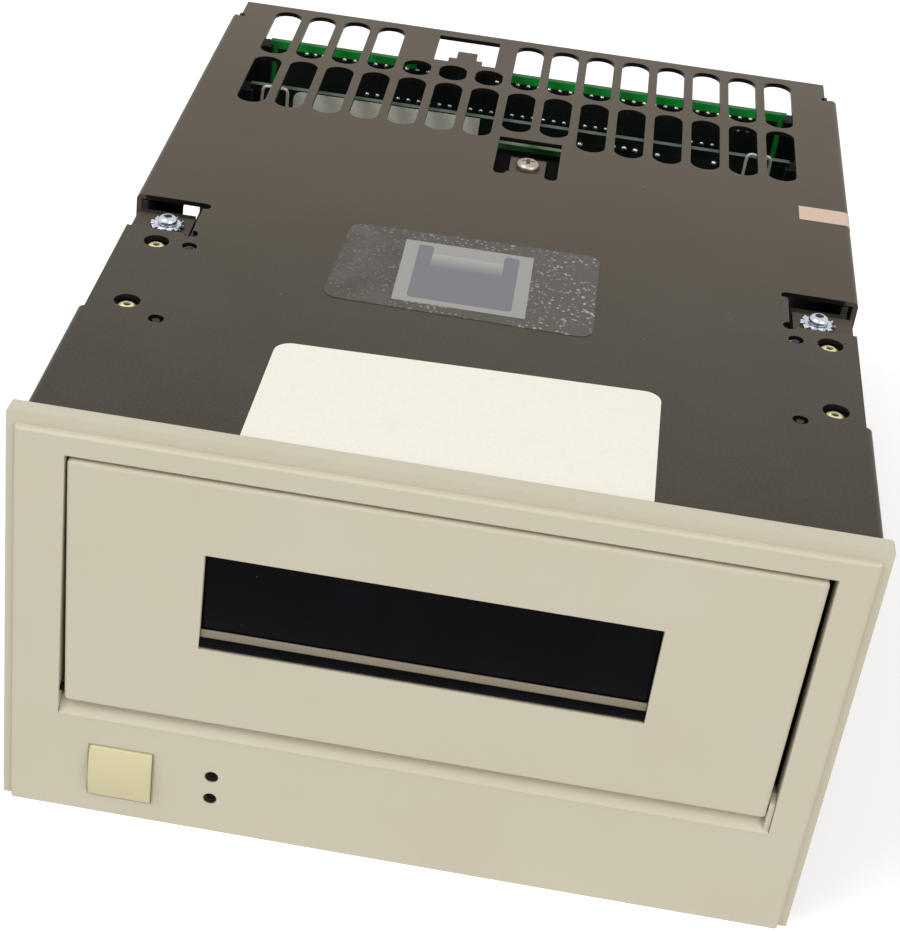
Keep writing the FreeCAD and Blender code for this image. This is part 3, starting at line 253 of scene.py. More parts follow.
    def edges(self, radius_mm: float) -> tuple[Socket, Socket]:
        """Rounded normal near edges, and a mask of where it differs from the flat one."""
        rounded = self.node("ShaderNodeBevel", samples=6)
        rounded.inputs["Radius"].default_value = radius_mm * MM
        flat = self.node("ShaderNodeNewGeometry")
        dot = self.node("ShaderNodeVectorMath", operation="DOT_PRODUCT")
        self.join(rounded.outputs["Normal"], dot.inputs[0])
        self.join(flat.outputs["Normal"], dot.inputs[1])
        mask = self.ramp(dot.outputs["Value"], [(0.86, 1.0), (0.99, 0.0)])
        return rounded.outputs["Normal"], mask

    def relief(self, height: Socket, strength: float, depth_mm: float,
               normal: Socket | None = None) -> None:
        """Bump the surface by a height pattern, over a rounded normal if one is given."""
        bump = self.node("ShaderNodeBump")
        bump.inputs["Strength"].default_value = strength
        bump.inputs["Distance"].default_value = depth_mm * MM
        self.join(height, bump.inputs["Height"])
        if normal is not None:
            self.join(normal, bump.inputs["Normal"])
        self.join(bump.outputs["Normal"], self.shader.inputs["Normal"])


@dataclass(frozen=True)
class Finish:
    """A surface finish. Each kind paints its own node tree."""

    name: str
    colour: Colour

    def paint(self, graph: Graph) -> None:
        """Build the nodes of this finish."""
        raise NotImplementedError

    def material(self) -> bpy.types.Material:
        """The finish's material, made once."""
        found = bpy.data.materials.get("finish_" + self.name)
        if found is None:
            graph = Graph("finish_" + self.name)
            self.paint(graph)
            found = graph.material
        return found


@dataclass(frozen=True)
class CoatedSheet(Finish):
    """Sheet steel with a thin matt coat, a little mottled, worn lighter on its cut edges."""

    second: Colour = (0.10, 0.09, 0.07)
    worn: Colour = (0.30, 0.29, 0.27)
    roughness: float = 0.46
    dust: float = 0.5
    gloss: float = 0.3

    def layers(self, graph: Graph, coat: Socket) -> Socket:
        """Further layers over the coat; plain sheet has none."""
        return coat

    def paint(self, graph: Graph) -> None:
        """Mottled coat, dust specks, fine peel and edge wear."""
        mottle = graph.ramp(graph.noise(16, 3), [(0.35, 0.0), (0.65, 1.0)])
        coat = graph.mix(mottle, self.colour, self.second)
        fine = graph.ramp(graph.noise(0.7, 3), [(0.3, 0.0), (0.7, 1.0)])
        coat = graph.mix(graph.times(fine, 0.05), coat, self.worn)
        coat = self.layers(graph, coat)
        specks = graph.times(graph.specks(9, 0.022), self.dust)
        coat = graph.mix(specks, coat, display(176, 170, 158))
        normal, edge = graph.edges(0.18)
        rub = graph.times(edge, graph.between(graph.noise(2.5, 3), 0.35, 0.75))
        coat = graph.mix(graph.times(rub, 0.45), coat, self.worn)
        rough = graph.vary(graph.noise(30, 3), self.roughness - 0.05, 0.10)
        graph.set(Base_Color=coat, Roughness=rough, Specular_IOR_Level=self.gloss)
        graph.relief(graph.noise(0.32, 2), 0.12, 0.03, normal)


@dataclass(frozen=True)
class CoverCoat(CoatedSheet):
    """The cover's coat: lighter to the rear with a painted sheen, near black with painted shade inside
    the holes cut through it.
    """

    # Painted sheen: the lighter tone the coat takes towards the rear.
    rear_sheen: Colour = display(85, 74, 59)
    rear: Span = (-0.095, 0.095)
    # Painted shade: near black on the walls of the holes through the cover.
    wall_shade: Colour = display(20, 17, 15)
    fold: float = 0.0712
    fold_blur: float = 0.0004

    def layers(self, graph: Graph, coat: Socket) -> Socket:
        """Painted sheen that lightens the coat along Y, and painted shade on the upright walls inside
        the folds.
        """
        # Painted sheen, growing along Y.
        coat = graph.mix(graph.between(graph.along("Y"), *self.rear), coat, self.rear_sheen)
        # Painted shade on upright faces inside the folds.
        upright = graph.between(graph.faces("Z"), 0.75, 0.5)
        across = graph.maths("ABSOLUTE", graph.along("X"))
        inside = graph.between(across, self.fold, self.fold - self.fold_blur)
        return graph.mix(graph.times(upright, inside), coat, self.wall_shade)


@dataclass(frozen=True)
class PlatedSteel(Finish):
    """Bright or dull plated metal with drawn streaks along one axis."""

    streak: Point = (1.0, 12.0, 1.0)
    roughness: float = 0.34
    grain_mm: float = 1.6
    metal: float = 1.0

    def paint(self, graph: Graph) -> None:
        """Streaked metal with cloudy plating."""
        streaks = graph.noise(self.grain_mm, 3, graph.stretched(self.streak))
        cloud = graph.ramp(graph.noise(6, 3), [(0.3, 0.0), (0.75, 1.0)])
        dark = tuple(0.72 * c for c in self.colour)
        metal = graph.mix(graph.times(cloud, 0.6), self.colour, dark)
        rough = graph.vary(streaks, self.roughness - 0.06, 0.18)
        normal, _ = graph.edges(0.12)
        graph.set(Base_Color=metal, Metallic=self.metal, Roughness=rough)
        graph.relief(streaks, 0.12, 0.03, normal)


@dataclass(frozen=True)
class Moulding(Finish):
    """Moulded plastic with a spark-eroded grain and slight ageing."""

    aged: Colour = (0.5, 0.45, 0.33)
    roughness: float = 0.48
    grain_mm: float = 0.28
    grain: float = 0.25
    specks: float = 0.35
    soft: float = 0.0
    gloss: float = 0.42

    def paint(self, graph: Graph) -> None:
        """Slightly uneven colour, a few specks, a painted highlight on the edges, fine grain."""
        uneven = graph.ramp(graph.noise(26, 3), [(0.3, 0.0), (0.72, 1.0)])
        colour = graph.mix(graph.times(uneven, 0.5), self.colour, self.aged)
        dots = graph.times(graph.specks(14, 0.016), self.specks)
        colour = graph.mix(dots, colour, tuple(0.35 * c for c in self.colour))
        normal, edge = graph.edges(0.25)
        # Painted highlight: edges mixed towards a pale tone.
        colour = graph.mix(graph.times(edge, 0.12), colour, (0.9, 0.88, 0.82))
        rough = graph.vary(graph.noise(3, 3), self.roughness - 0.05, 0.10)
        graph.set(Base_Color=colour, Roughness=rough, Specular_IOR_Level=self.gloss)
        if self.soft:
            graph.set(Subsurface_Weight=self.soft, Subsurface_Scale=0.002,
                      Subsurface_Radius=(1.0, 0.8, 0.5))
        graph.relief(graph.noise(self.grain_mm, 2), self.grain, 0.04, normal)


@dataclass(frozen=True)
class SmokedAcrylic(Finish):
    """Near-black polished window with faint handling smears."""

    roughness: float = 0.05

    def paint(self, graph: Graph) -> None:
        """Dark gloss with smears in the roughness and a breath of haze."""
        smear = graph.noise(9, 4, graph.stretched((1.0, 1.0, 0.35)))
        haze = graph.ramp(smear, [(0.5, 0.0), (0.8, 1.0)])
        colour = graph.mix(graph.times(haze, 0.5), self.colour,
                           tuple(2.2 * c + 0.001 for c in self.colour))
        rough = graph.maths("ADD", graph.times(haze, 0.16), self.roughness)
        dust = graph.times(graph.specks(11, 0.014), 0.25)
        colour = graph.mix(dust, colour, (0.25, 0.25, 0.25))
        graph.set(Base_Color=colour, Roughness=rough, Specular_IOR_Level=0.04)


@dataclass(frozen=True)
class Laminate(Finish):
    """Circuit card: field with faint copper tracks, a bright green band of painted light round its rim,
    pale sawn edge.
    """

    card: str = "rear_card"
    # Painted light: bright green where light falls on the card's rim.
    lit_rim: Colour = display(26, 160, 58)
    sawn: Colour = display(30, 120, 52)
    lit_rim_mm: float = 1.9
    upright: bool = True
    # Stretch of X, in metres, where the band of painted light is left out.
    unlit_stretch: Span | None = None
    blur: float = 1e-4
    track_mm: float = 5.08

    def rim(self, graph: Graph) -> Socket:
        """Band of painted light along all four sides, left out over the unlit stretch of X."""
        low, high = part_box(self.card)
        second, index = ("Z", 2) if self.upright else ("Y", 1)
        rim = None
        for axis, a, b in (("X", low.x, high.x), (second, low[index], high[index])):
            value = graph.along(axis)
            for limit, sign in ((a, 1.0), (b, -1.0)):
                inward = graph.times(graph.maths("SUBTRACT", value, limit), sign)
                near = graph.between(inward, self.lit_rim_mm * MM, self.lit_rim_mm * MM - self.blur)
                rim = near if rim is None else graph.maths("MAXIMUM", rim, near)
        if self.unlit_stretch is None:
            return rim
        start, end = self.unlit_stretch
        across = graph.along("X")
        over = graph.times(graph.between(across, start - self.blur, start),
                           graph.between(across, end + self.blur, end))
        return graph.times(rim, graph.maths("SUBTRACT", 1.0, over))

    def tracks(self, graph: Graph) -> Socket:
        """Dark field with faint copper tracks under the mask."""
        bricks = graph.node("ShaderNodeTexBrick", offset=0.37, squash=1.0)
        mapping = graph.node("ShaderNodeMapping")
        mapping.inputs["Rotation"].default_value = (math.pi / 2 if self.upright else 0.0, 0.0, 0.0)
        graph.join(graph.place, mapping.inputs["Vector"])
        graph.join(mapping.outputs["Vector"], bricks.inputs["Vector"])
        bricks.inputs["Scale"].default_value = 1 / (self.track_mm * MM)
        bricks.inputs["Mortar Size"].default_value = 0.05
        for name, share in (("Color1", 1.0), ("Color2", 1.15), ("Mortar", 1.9)):
            graph.feed(bricks.inputs[name], tuple(share * c for c in self.colour))
        weave = graph.ramp(graph.noise(0.9, 2), [(0.3, 0.85), (0.7, 1.15)])
        woven = graph.mix(1.0, bricks.outputs["Color"], weave, "MULTIPLY")
        return graph.mix(0.5, bricks.outputs["Color"], woven)

    def paint(self, graph: Graph) -> None:
        """Tracks, the band of painted light outside the unlit stretch, pale sawn edge."""
        # Painted light: the rim band laid over the field.
        colour = graph.mix(self.rim(graph), self.tracks(graph), self.lit_rim)
        face = graph.faces("Y" if self.upright else "Z")
        colour = graph.mix(graph.between(face, 0.7, 0.3), colour, self.sawn)
        graph.set(Base_Color=colour, Roughness=0.38, Specular_IOR_Level=0.45)
        graph.relief(graph.noise(0.5, 2), 0.2, 0.03)


@dataclass(frozen=True)
class TurnedMetal(Finish):
    """Lathe-turned or ground metal with fine rings round an upright axis."""

    centre: Span = (0.0, 0.0)
    roughness: float = 0.22
    ring_mm: float = 0.35

    def paint(self, graph: Graph) -> None:
        """Rings round the centre, on a slightly cloudy metal."""
        middle = (-self.centre[0], -self.centre[1], 0.0)
        rings = graph.node("ShaderNodeTexWave", wave_type="RINGS", rings_direction="Z")
        graph.join(graph.stretched((1.0, 1.0, 1.0), middle), rings.inputs["Vector"])
        rings.inputs["Scale"].default_value = 0.3 / (self.ring_mm * MM)
        rings.inputs["Distortion"].default_value = 0.4
        cloud = graph.ramp(graph.noise(5, 3), [(0.3, 0.85), (0.7, 1.0)])
        metal = graph.mix(1.0, self.colour, cloud, "MULTIPLY")
        normal, _ = graph.edges(0.1)
        graph.set(Base_Color=metal, Metallic=1.0, Roughness=self.roughness)
        graph.relief(rings.outputs["Fac"], 0.10, 0.01, normal)


@dataclass(frozen=True)
class Paper(Finish):
    """Matt label stock with fibres and a trace of handling."""

    stain: Colour = (0.62, 0.50, 0.42)
    stained: float = 0.25
    roughness: float = 0.62

    def paint(self, graph: Graph) -> None:
        """Fibres, soft greying and a few stains."""
        fibres = graph.noise(0.5, 4, graph.stretched((1.0, 2.6, 1.0)))
        grey = tuple(0.93 * c for c in self.colour)
        colour = graph.mix(graph.between(fibres, 0.35, 0.7), self.colour, grey)
        patch = graph.ramp(graph.noise(13, 3), [(0.62, 0.0), (0.80, 1.0)])
        colour = graph.mix(graph.times(patch, self.stained), colour, self.stain)
        dots = graph.times(graph.specks(7, 0.02), 0.3)
        colour = graph.mix(dots, colour, (0.25, 0.22, 0.2))
        graph.set(Base_Color=colour, Roughness=self.roughness, Specular_IOR_Level=0.35)
        graph.relief(fibres, 0.15, 0.03)


@dataclass(frozen=True)
class FadedPaper(Paper):
    """Label stock whose print fades out towards the rear."""

    faded: Colour = display(170, 168, 166)
    fade: Span = (-0.0225, -0.0168)

    def paint(self, graph: Graph) -> None:
        """Plain stock, then the fade along Y."""
        super().paint(graph)
        print_colour = graph.shader.inputs["Base Color"].links[0].from_socket
        share = graph.between(graph.along("Y"), *self.fade)
        graph.set(Base_Color=graph.mix(share, print_colour, self.faded))


@dataclass(frozen=True)
class SpeckledFilm(Finish):
    """Greyed adhesive film, full of small bubbles, over the coat."""

    bubble: Colour = (0.42, 0.41, 0.40)
    span: Span = (-0.03, 0.022)
    shades: Point = (0.74, 1.2, 1.22)

    def paint(self, graph: Graph) -> None:
        """Cloudy grey with bubbles that crowd towards the right and the rim."""
        cloud = graph.ramp(graph.noise(7, 4), [(0.3, 0.0), (0.7, 1.0)])
        right = graph.between(graph.along("X"), *self.span)
        dark, light, pale = (tuple(share * c for c in self.colour) for share in self.shades)
        colour = graph.mix(cloud, graph.mix(right, dark, light), pale)
        small = graph.specks(1.0, 0.34)
        large = graph.specks(2.4, 0.20)
        crowd = graph.between(graph.noise(6, 3), 0.36, 0.58)
        share = graph.times(crowd, graph.maths("ADD", right, 0.25))
        bubbles = graph.times(graph.maths("MAXIMUM", small, large), share)
        colour = graph.mix(graph.times(bubbles, 0.75), colour, self.bubble)
        graph.set(Base_Color=colour, Roughness=0.4, Specular_IOR_Level=0.18)
        graph.relief(bubbles, 0.5, 0.05)


@dataclass(frozen=True)
class StripedCable(Finish):
    """Flat cable whose conductors show as ribs along X."""

    pitch_mm: float = 1.27

    def paint(self, graph: Graph) -> None:
        """Ribs and a slight tint from rib to rib."""
        ribs = graph.node("ShaderNodeTexWave", wave_type="BANDS", bands_direction="X")
        graph.join(graph.place, ribs.inputs["Vector"])
        ribs.inputs["Scale"].default_value = 0.314 / (self.pitch_mm * MM)
        tint = graph.ramp(ribs.outputs["Fac"], [(0.1, 0.75), (0.6, 1.0)])
        graph.set(Base_Color=graph.mix(1.0, self.colour, tint, "MULTIPLY"), Roughness=0.45)
        graph.relief(ribs.outputs["Fac"], 0.6, 0.3)


COVER_COAT = CoverCoat("cover_coat", display(60, 54, 43), display(56, 50, 38), roughness=0.38,
                       gloss=0.15)
TUB_COAT = CoatedSheet("tub_coat", display(42, 39, 35), display(38, 36, 31), roughness=0.5,
                       gloss=0.2)
SHADE_BLACK = CoatedSheet("shade_black", display(12, 12, 13), display(17, 16, 16),
                          worn=display(34, 34, 34), roughness=0.7, gloss=0.02)
BLACK_COAT = CoatedSheet("black_coat", display(22, 22, 23), display(26, 25, 25),
                         worn=display(70, 70, 72), roughness=0.45, gloss=0.2)
ZINC_SHEET = PlatedSteel("zinc_sheet", display(196, 195, 188))
BRIGHT_ZINC = PlatedSteel("bright_zinc", display(206, 213, 221), (1.0, 1.0, 1.0), 0.24, 0.8)
SPRING_STEEL = PlatedSteel("spring_steel", display(160, 160, 162), (8.0, 1.0, 1.0), 0.3, 0.8)
HOLDER_SHEET = PlatedSteel("holder_sheet", display(178, 180, 182), (1.0, 14.0, 1.0), 0.36)
MOTOR_CAN = PlatedSteel("motor_can", display(150, 150, 154), (1.0, 1.0, 9.0), 0.32)
BAIL_WIRE = PlatedSteel("bail_wire", display(214, 214, 208), (1.0, 1.0, 5.0), 0.45, 0.8, 0.3)
BRASS = PlatedSteel("brass", display(248, 236, 186), (1.0, 1.0, 1.0), 0.3, 0.9, 0.45)
DULL_NICKEL = PlatedSteel("dull_nickel", display(178, 168, 154), (1.0, 1.0, 1.0), 0.34, 0.8)
BLACK_STEEL = PlatedSteel("black_steel", display(66, 66, 72), (1.0, 1.0, 1.0), 0.5, 0.9)
SOLDER = PlatedSteel("solder", display(206, 206, 204), (1.0, 1.0, 1.0), 0.3, 1.4)
BEZEL_PLASTIC = Moulding("bezel_plastic", display(204, 198, 179), display(199, 191, 169))
CREAM_PLASTIC = Moulding("cream_plastic", display(212, 204, 164), display(206, 196, 154),
                         roughness=0.38, grain=0.08, specks=0.1, soft=0.06)
BLACK_PLASTIC = Moulding("black_plastic", display(20, 20, 22), display(25, 24, 25), grain=0.35,
                         gloss=0.2)
CHIP_PLASTIC = Moulding("chip_plastic", display(26, 26, 28), display(32, 32, 34), 0.55, 0.18, 0.5,
                        gloss=0.25)
WHITE_PLASTIC = Moulding("white_plastic", display(222, 219, 205), display(212, 206, 186), 0.4)
RUBBER = Moulding("rubber", display(28, 28, 28), display(40, 39, 38), 0.72, 0.4, 0.5)
LAMP_LENS = Moulding("lamp_lens", display(30, 20, 20), display(24, 16, 16), 0.2, 0.5, 0.02, 0.0)
LAMP_SLEEVE = Moulding("lamp_sleeve", display(30, 19, 19), display(24, 15, 15), 0.5, 0.3, 0.1,
                       gloss=0.05)
# Painted shade: the door's plastic, darkened for the recessed ledge under the window.
SHADED_LEDGE_PLASTIC = Moulding("shaded_ledge_plastic", display(136, 126, 106), display(120, 112, 94),
                         roughness=0.22, grain=0.04, specks=0.1)
WINDOW = SmokedAcrylic("smoked_acrylic", (0.0018, 0.0018, 0.0034))
WHITE_PAPER = Paper("white_paper", display(247, 243, 231), stained=0.12)
CARD_PAPER = Paper("card_paper", display(214, 214, 202), stained=0.12)
PINK_PAPER = Paper("pink_paper", display(222, 196, 176), display(178, 128, 108), 0.5)
SILVER_FILM = SpeckledFilm("silver_film", display(80, 75, 69))
GREY_PRINT = Paper("grey_print", display(158, 156, 152), display(142, 140, 134), 0.3, 0.42)
BLUE_PRINT = Paper("blue_print", display(116, 116, 122), display(104, 103, 106), 0.5, 0.40)
FADED_PRINT = FadedPaper("faded_print", display(116, 116, 122), display(104, 103, 106), 0.5, 0.40)
CABLE_GREY = StripedCable("cable_grey", display(168, 168, 164))
# Painted shade: the green mask of the upright cards, as dark as it looks in the shadow under the cover.
SHADED_CARD_FIELD: Colour = display(17, 20, 20)
MASK_GREEN: Colour = display(20, 62, 34)


def dress(node: str, finish: Finish) -> None:
    """Give a construction node its finish."""
    mesh = frame["nodes"][node].data
    mesh.materials.clear()
    mesh.materials.append(finish.material())


# ---------------------------------------------------------------------------------------------
# Modelling
# ---------------------------------------------------------------------------------------------
def clear_selection() -> None:
    """Leave nothing selected."""
    bpy.ops.object.select_all(action="DESELECT")


class Piece:
    def __init__(self, obj: bpy.types.Object, name: str) -> None:
        """Take over the object that an operator has just made."""
        self.obj = obj
        self.obj.name = name
        self.obj.data.name = name
        self.make_active()
        bpy.ops.object.transform_apply(location=True, rotation=True, scale=True)

    @classmethod
    def block(cls, name: str, x: Span, y: Span, z: Span) -> "Piece":
        """Box between pairs of limits."""
        clear_selection()
        middle = [(a + b) / 2 for a, b in (x, y, z)]
        size = [b - a for a, b in (x, y, z)]
        bpy.ops.mesh.primitive_cube_add(size=1, location=middle, scale=size)
        return cls(bpy.context.active_object, name)

    @classmethod
    def round(cls, name: str, centre: Point, radius: float, length: float,
              axis: Axis = Axis.Z, sides: int = 48) -> "Piece":
        """Cylinder about a centre point, or a prism if it has few sides."""
        clear_selection()
        bpy.ops.mesh.primitive_cylinder_add(vertices=sides, radius=radius, depth=length,
                                            location=centre, rotation=axis.value)
        return cls(bpy.context.active_object, name)

    @classmethod
    def dome(cls, name: str, centre: Point, radius: float, flat: float, axis: Axis) -> "Piece":
        """Low bead: a small ball flattened along its axis."""
        clear_selection()
        bpy.ops.mesh.primitive_ico_sphere_add(subdivisions=2, radius=radius, location=centre)
        piece = cls(bpy.context.active_object, name)
        squash = {Axis.X: (flat, 1, 1), Axis.Y: (1, flat, 1), Axis.Z: (1, 1, flat)}[axis]
        with piece.editing("VERT"):
            bpy.ops.mesh.select_all(action="SELECT")
            bpy.ops.transform.resize(value=squash, center_override=centre)
        return piece

    @classmethod
    def sheet(cls, name: str, corners: Sequence[Span], z: float) -> "Piece":
        """Flat four-cornered sheet: front left, front right, rear right, rear left."""
        clear_selection()
        bpy.ops.mesh.primitive_plane_add(size=2, location=(0, 0, z))
        piece = cls(bpy.context.active_object, name)
        signs = ((-1, -1), (1, -1), (1, 1), (-1, 1))
        for sign, corner in zip(signs, corners):
            with piece.editing("VERT"):
                piece.pick(lambda v: (v.co.x * sign[0] > 0 and v.co.y * sign[1] > 0
                                      and abs(abs(v.co.x) - 1) < 1e-4 and abs(abs(v.co.y) - 1) < 1e-4))
                move = (corner[0] - sign[0], corner[1] - sign[1], 0)
                bpy.ops.transform.translate(value=move)
        return piece

    def make_active(self) -> None:
        """Select this piece alone."""
        clear_selection()
        self.obj.select_set(True)
        bpy.context.view_layer.objects.active = self.obj

    @contextmanager
    def editing(self, mode: str = "FACE") -> Iterator[None]:
        """Edit mode with nothing selected, in vertex, edge or face mode."""
        self.make_active()
        bpy.ops.object.mode_set(mode="EDIT")
        bpy.ops.mesh.select_mode(type=mode)
        bpy.ops.mesh.select_all(action="DESELECT")
        self.mode = mode
        yield
        bpy.ops.object.mode_set(mode="OBJECT")

    def pick(self, wanted: Callable[[object], bool]) -> int:
        """Select the faces, edges or vertices that wanted() accepts.

        Args:
            wanted: test of one bmesh face, edge or vertex.

        Returns:
            How many are selected.
        """
        mesh = bmesh.from_edit_mesh(self.obj.data)
        kind = {"FACE": mesh.faces, "EDGE": mesh.edges, "VERT": mesh.verts}[self.mode]
        count = 0
        for item in kind:
            chosen = bool(wanted(item))
            item.select_set(chosen)
            count += chosen
        mesh.select_flush_mode()
        bmesh.update_edit_mesh(self.obj.data)
        return count

    def extrude(self, wanted: Callable[[object], bool], move: Point) -> "Piece":
        """Extrude the wanted faces by a vector."""
        with self.editing():
            self.pick(wanted)
            bpy.ops.mesh.extrude_region_move(TRANSFORM_OT_translate={"value": move})
        return self

    def inset(self, wanted: Callable[[object], bool], steps: Sequence[Span]) -> "Piece":
        """Inset the wanted faces again and again, each step a (thickness, rise)."""
        with self.editing():
            self.pick(wanted)
            for thickness, rise in steps:
                bpy.ops.mesh.inset(thickness=thickness, depth=rise)
        return self

    def cut(self, point: Point, normal: Point) -> "Piece":
        """Cut away all on the far side of a plane, and close the cut."""
        with self.editing():
            bpy.ops.mesh.select_all(action="SELECT")
            bpy.ops.mesh.bisect(plane_co=point, plane_no=normal, use_fill=True, clear_outer=True)
        return self

    def modify(self, kind: str, **settings: object) -> "Piece":
        """Add a modifier, set it and apply it."""
        self.make_active()
        modifier = self.obj.modifiers.new(kind.lower(), kind)
        for name, value in settings.items():
            setattr(modifier, name, value)
        bpy.ops.object.modifier_apply(modifier=modifier.name)
        return self

    def soften(self, width: float, segments: int = 3, angle: float = 35) -> "Piece":
        """Round every edge sharper than an angle."""
        return self.modify("BEVEL", width=width, segments=segments, limit_method="ANGLE",
                           angle_limit=math.radians(angle), harden_normals=False)

    def thicken(self, thickness: float) -> "Piece":
        """Give a sheet its thickness, upwards."""
        return self.modify("SOLIDIFY", thickness=thickness, offset=1.0)

    def subtract(self, cutter: "Piece") -> "Piece":
        """Take another piece's volume away."""
        self.modify("BOOLEAN", operation="DIFFERENCE", object=cutter.obj, solver="EXACT")
        bpy.data.objects.remove(cutter.obj)
        return self

    def round_corners(self, wanted: Callable[[object], bool], radius: float) -> "Piece":
        """Round picked corners of a flat sheet."""
        with self.editing("VERT"):
            self.pick(wanted)
            bpy.ops.mesh.bevel(offset=radius, segments=7, affect="VERTICES")
        return self

    def repeat(self, moves: Sequence[Point]) -> "Piece":
        """Copy the piece to each move, each copy with its own mesh, and join them all.

        Args:
            moves: shifts from where the piece was modelled; it stays there only for (0, 0, 0).

        Returns:
            The joined piece.
        """
        copies = []
        for move in moves:
            self.make_active()
            bpy.ops.object.duplicate(linked=False)
            twin = bpy.context.active_object
            twin.data.transform(Matrix.Translation(move))
            copies.append(twin)
        with self.editing("VERT"):
            bpy.ops.mesh.select_all(action="SELECT")
            bpy.ops.mesh.delete(type="VERT")
        return self.merge_objects(copies)

    def merge(self, others: Sequence["Piece"]) -> "Piece":
        """Join other pieces into this one."""
        return self.merge_objects([other.obj for other in others])

    @classmethod
    def gather(cls, name: str, pieces: Sequence["Piece"]) -> "Piece":
        """Join pieces under one name."""
        whole = pieces[0].merge(pieces[1:])
        whole.obj.name = name
        return whole

    def merge_objects(self, objects: Sequence[bpy.types.Object]) -> "Piece":
        """Join plain objects into this piece."""
        self.make_active()
        for obj in objects:
            obj.select_set(True)
        bpy.ops.object.join()
        return self

    def face_outwards(self) -> "Piece":
        """Merge doubles and turn every face outwards."""
        with self.editing("VERT"):
            bpy.ops.mesh.select_all(action="SELECT")
            bpy.ops.mesh.remove_doubles(threshold=0.0005)
            bpy.ops.mesh.normals_make_consistent(inside=False)
        return self

    def finish(self, finish: Finish, body: Body, slot: str, smooth: float = 32) -> bpy.types.Object:
        """Put the piece in the drive: metres, finish, shading and the body it rides on.

        Args:
            finish: its surface.
            body: the moving body that carries it.
            slot: the material slot of the construction record that it belongs to; not used.
            smooth: faces that meet below this angle are shaded smooth.

        Returns:
            The finished object.
        """
        self.make_active()
        self.obj.scale = (MM, MM, MM)
        self.obj.location = (0, front_of_drive(), 0)
        bpy.ops.object.transform_apply(location=True, rotation=True, scale=True)
        bpy.ops.object.shade_smooth_by_angle(angle=math.radians(smooth))
        self.obj.data.materials.clear()
        self.obj.data.materials.append(finish.material())
        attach(self.obj, body.value)
        LOG.info("%s: %d faces on %s", self.obj.name, len(self.obj.data.polygons), body.value)
        return self.obj


def facing(axis: int, sign: int = 1, beyond: float | None = None) -> Callable[[object], bool]:
    """Test for faces that look along an axis, optionally only those past a place on it."""
    def wanted(face: object) -> bool:
        """Whether one face looks the right way and lies far enough out."""
        if face.normal[axis] * sign < 0.9:
            return False
        return beyond is None or face.calc_center_median()[axis] * sign > beyond * sign - 1e-4
    return wanted


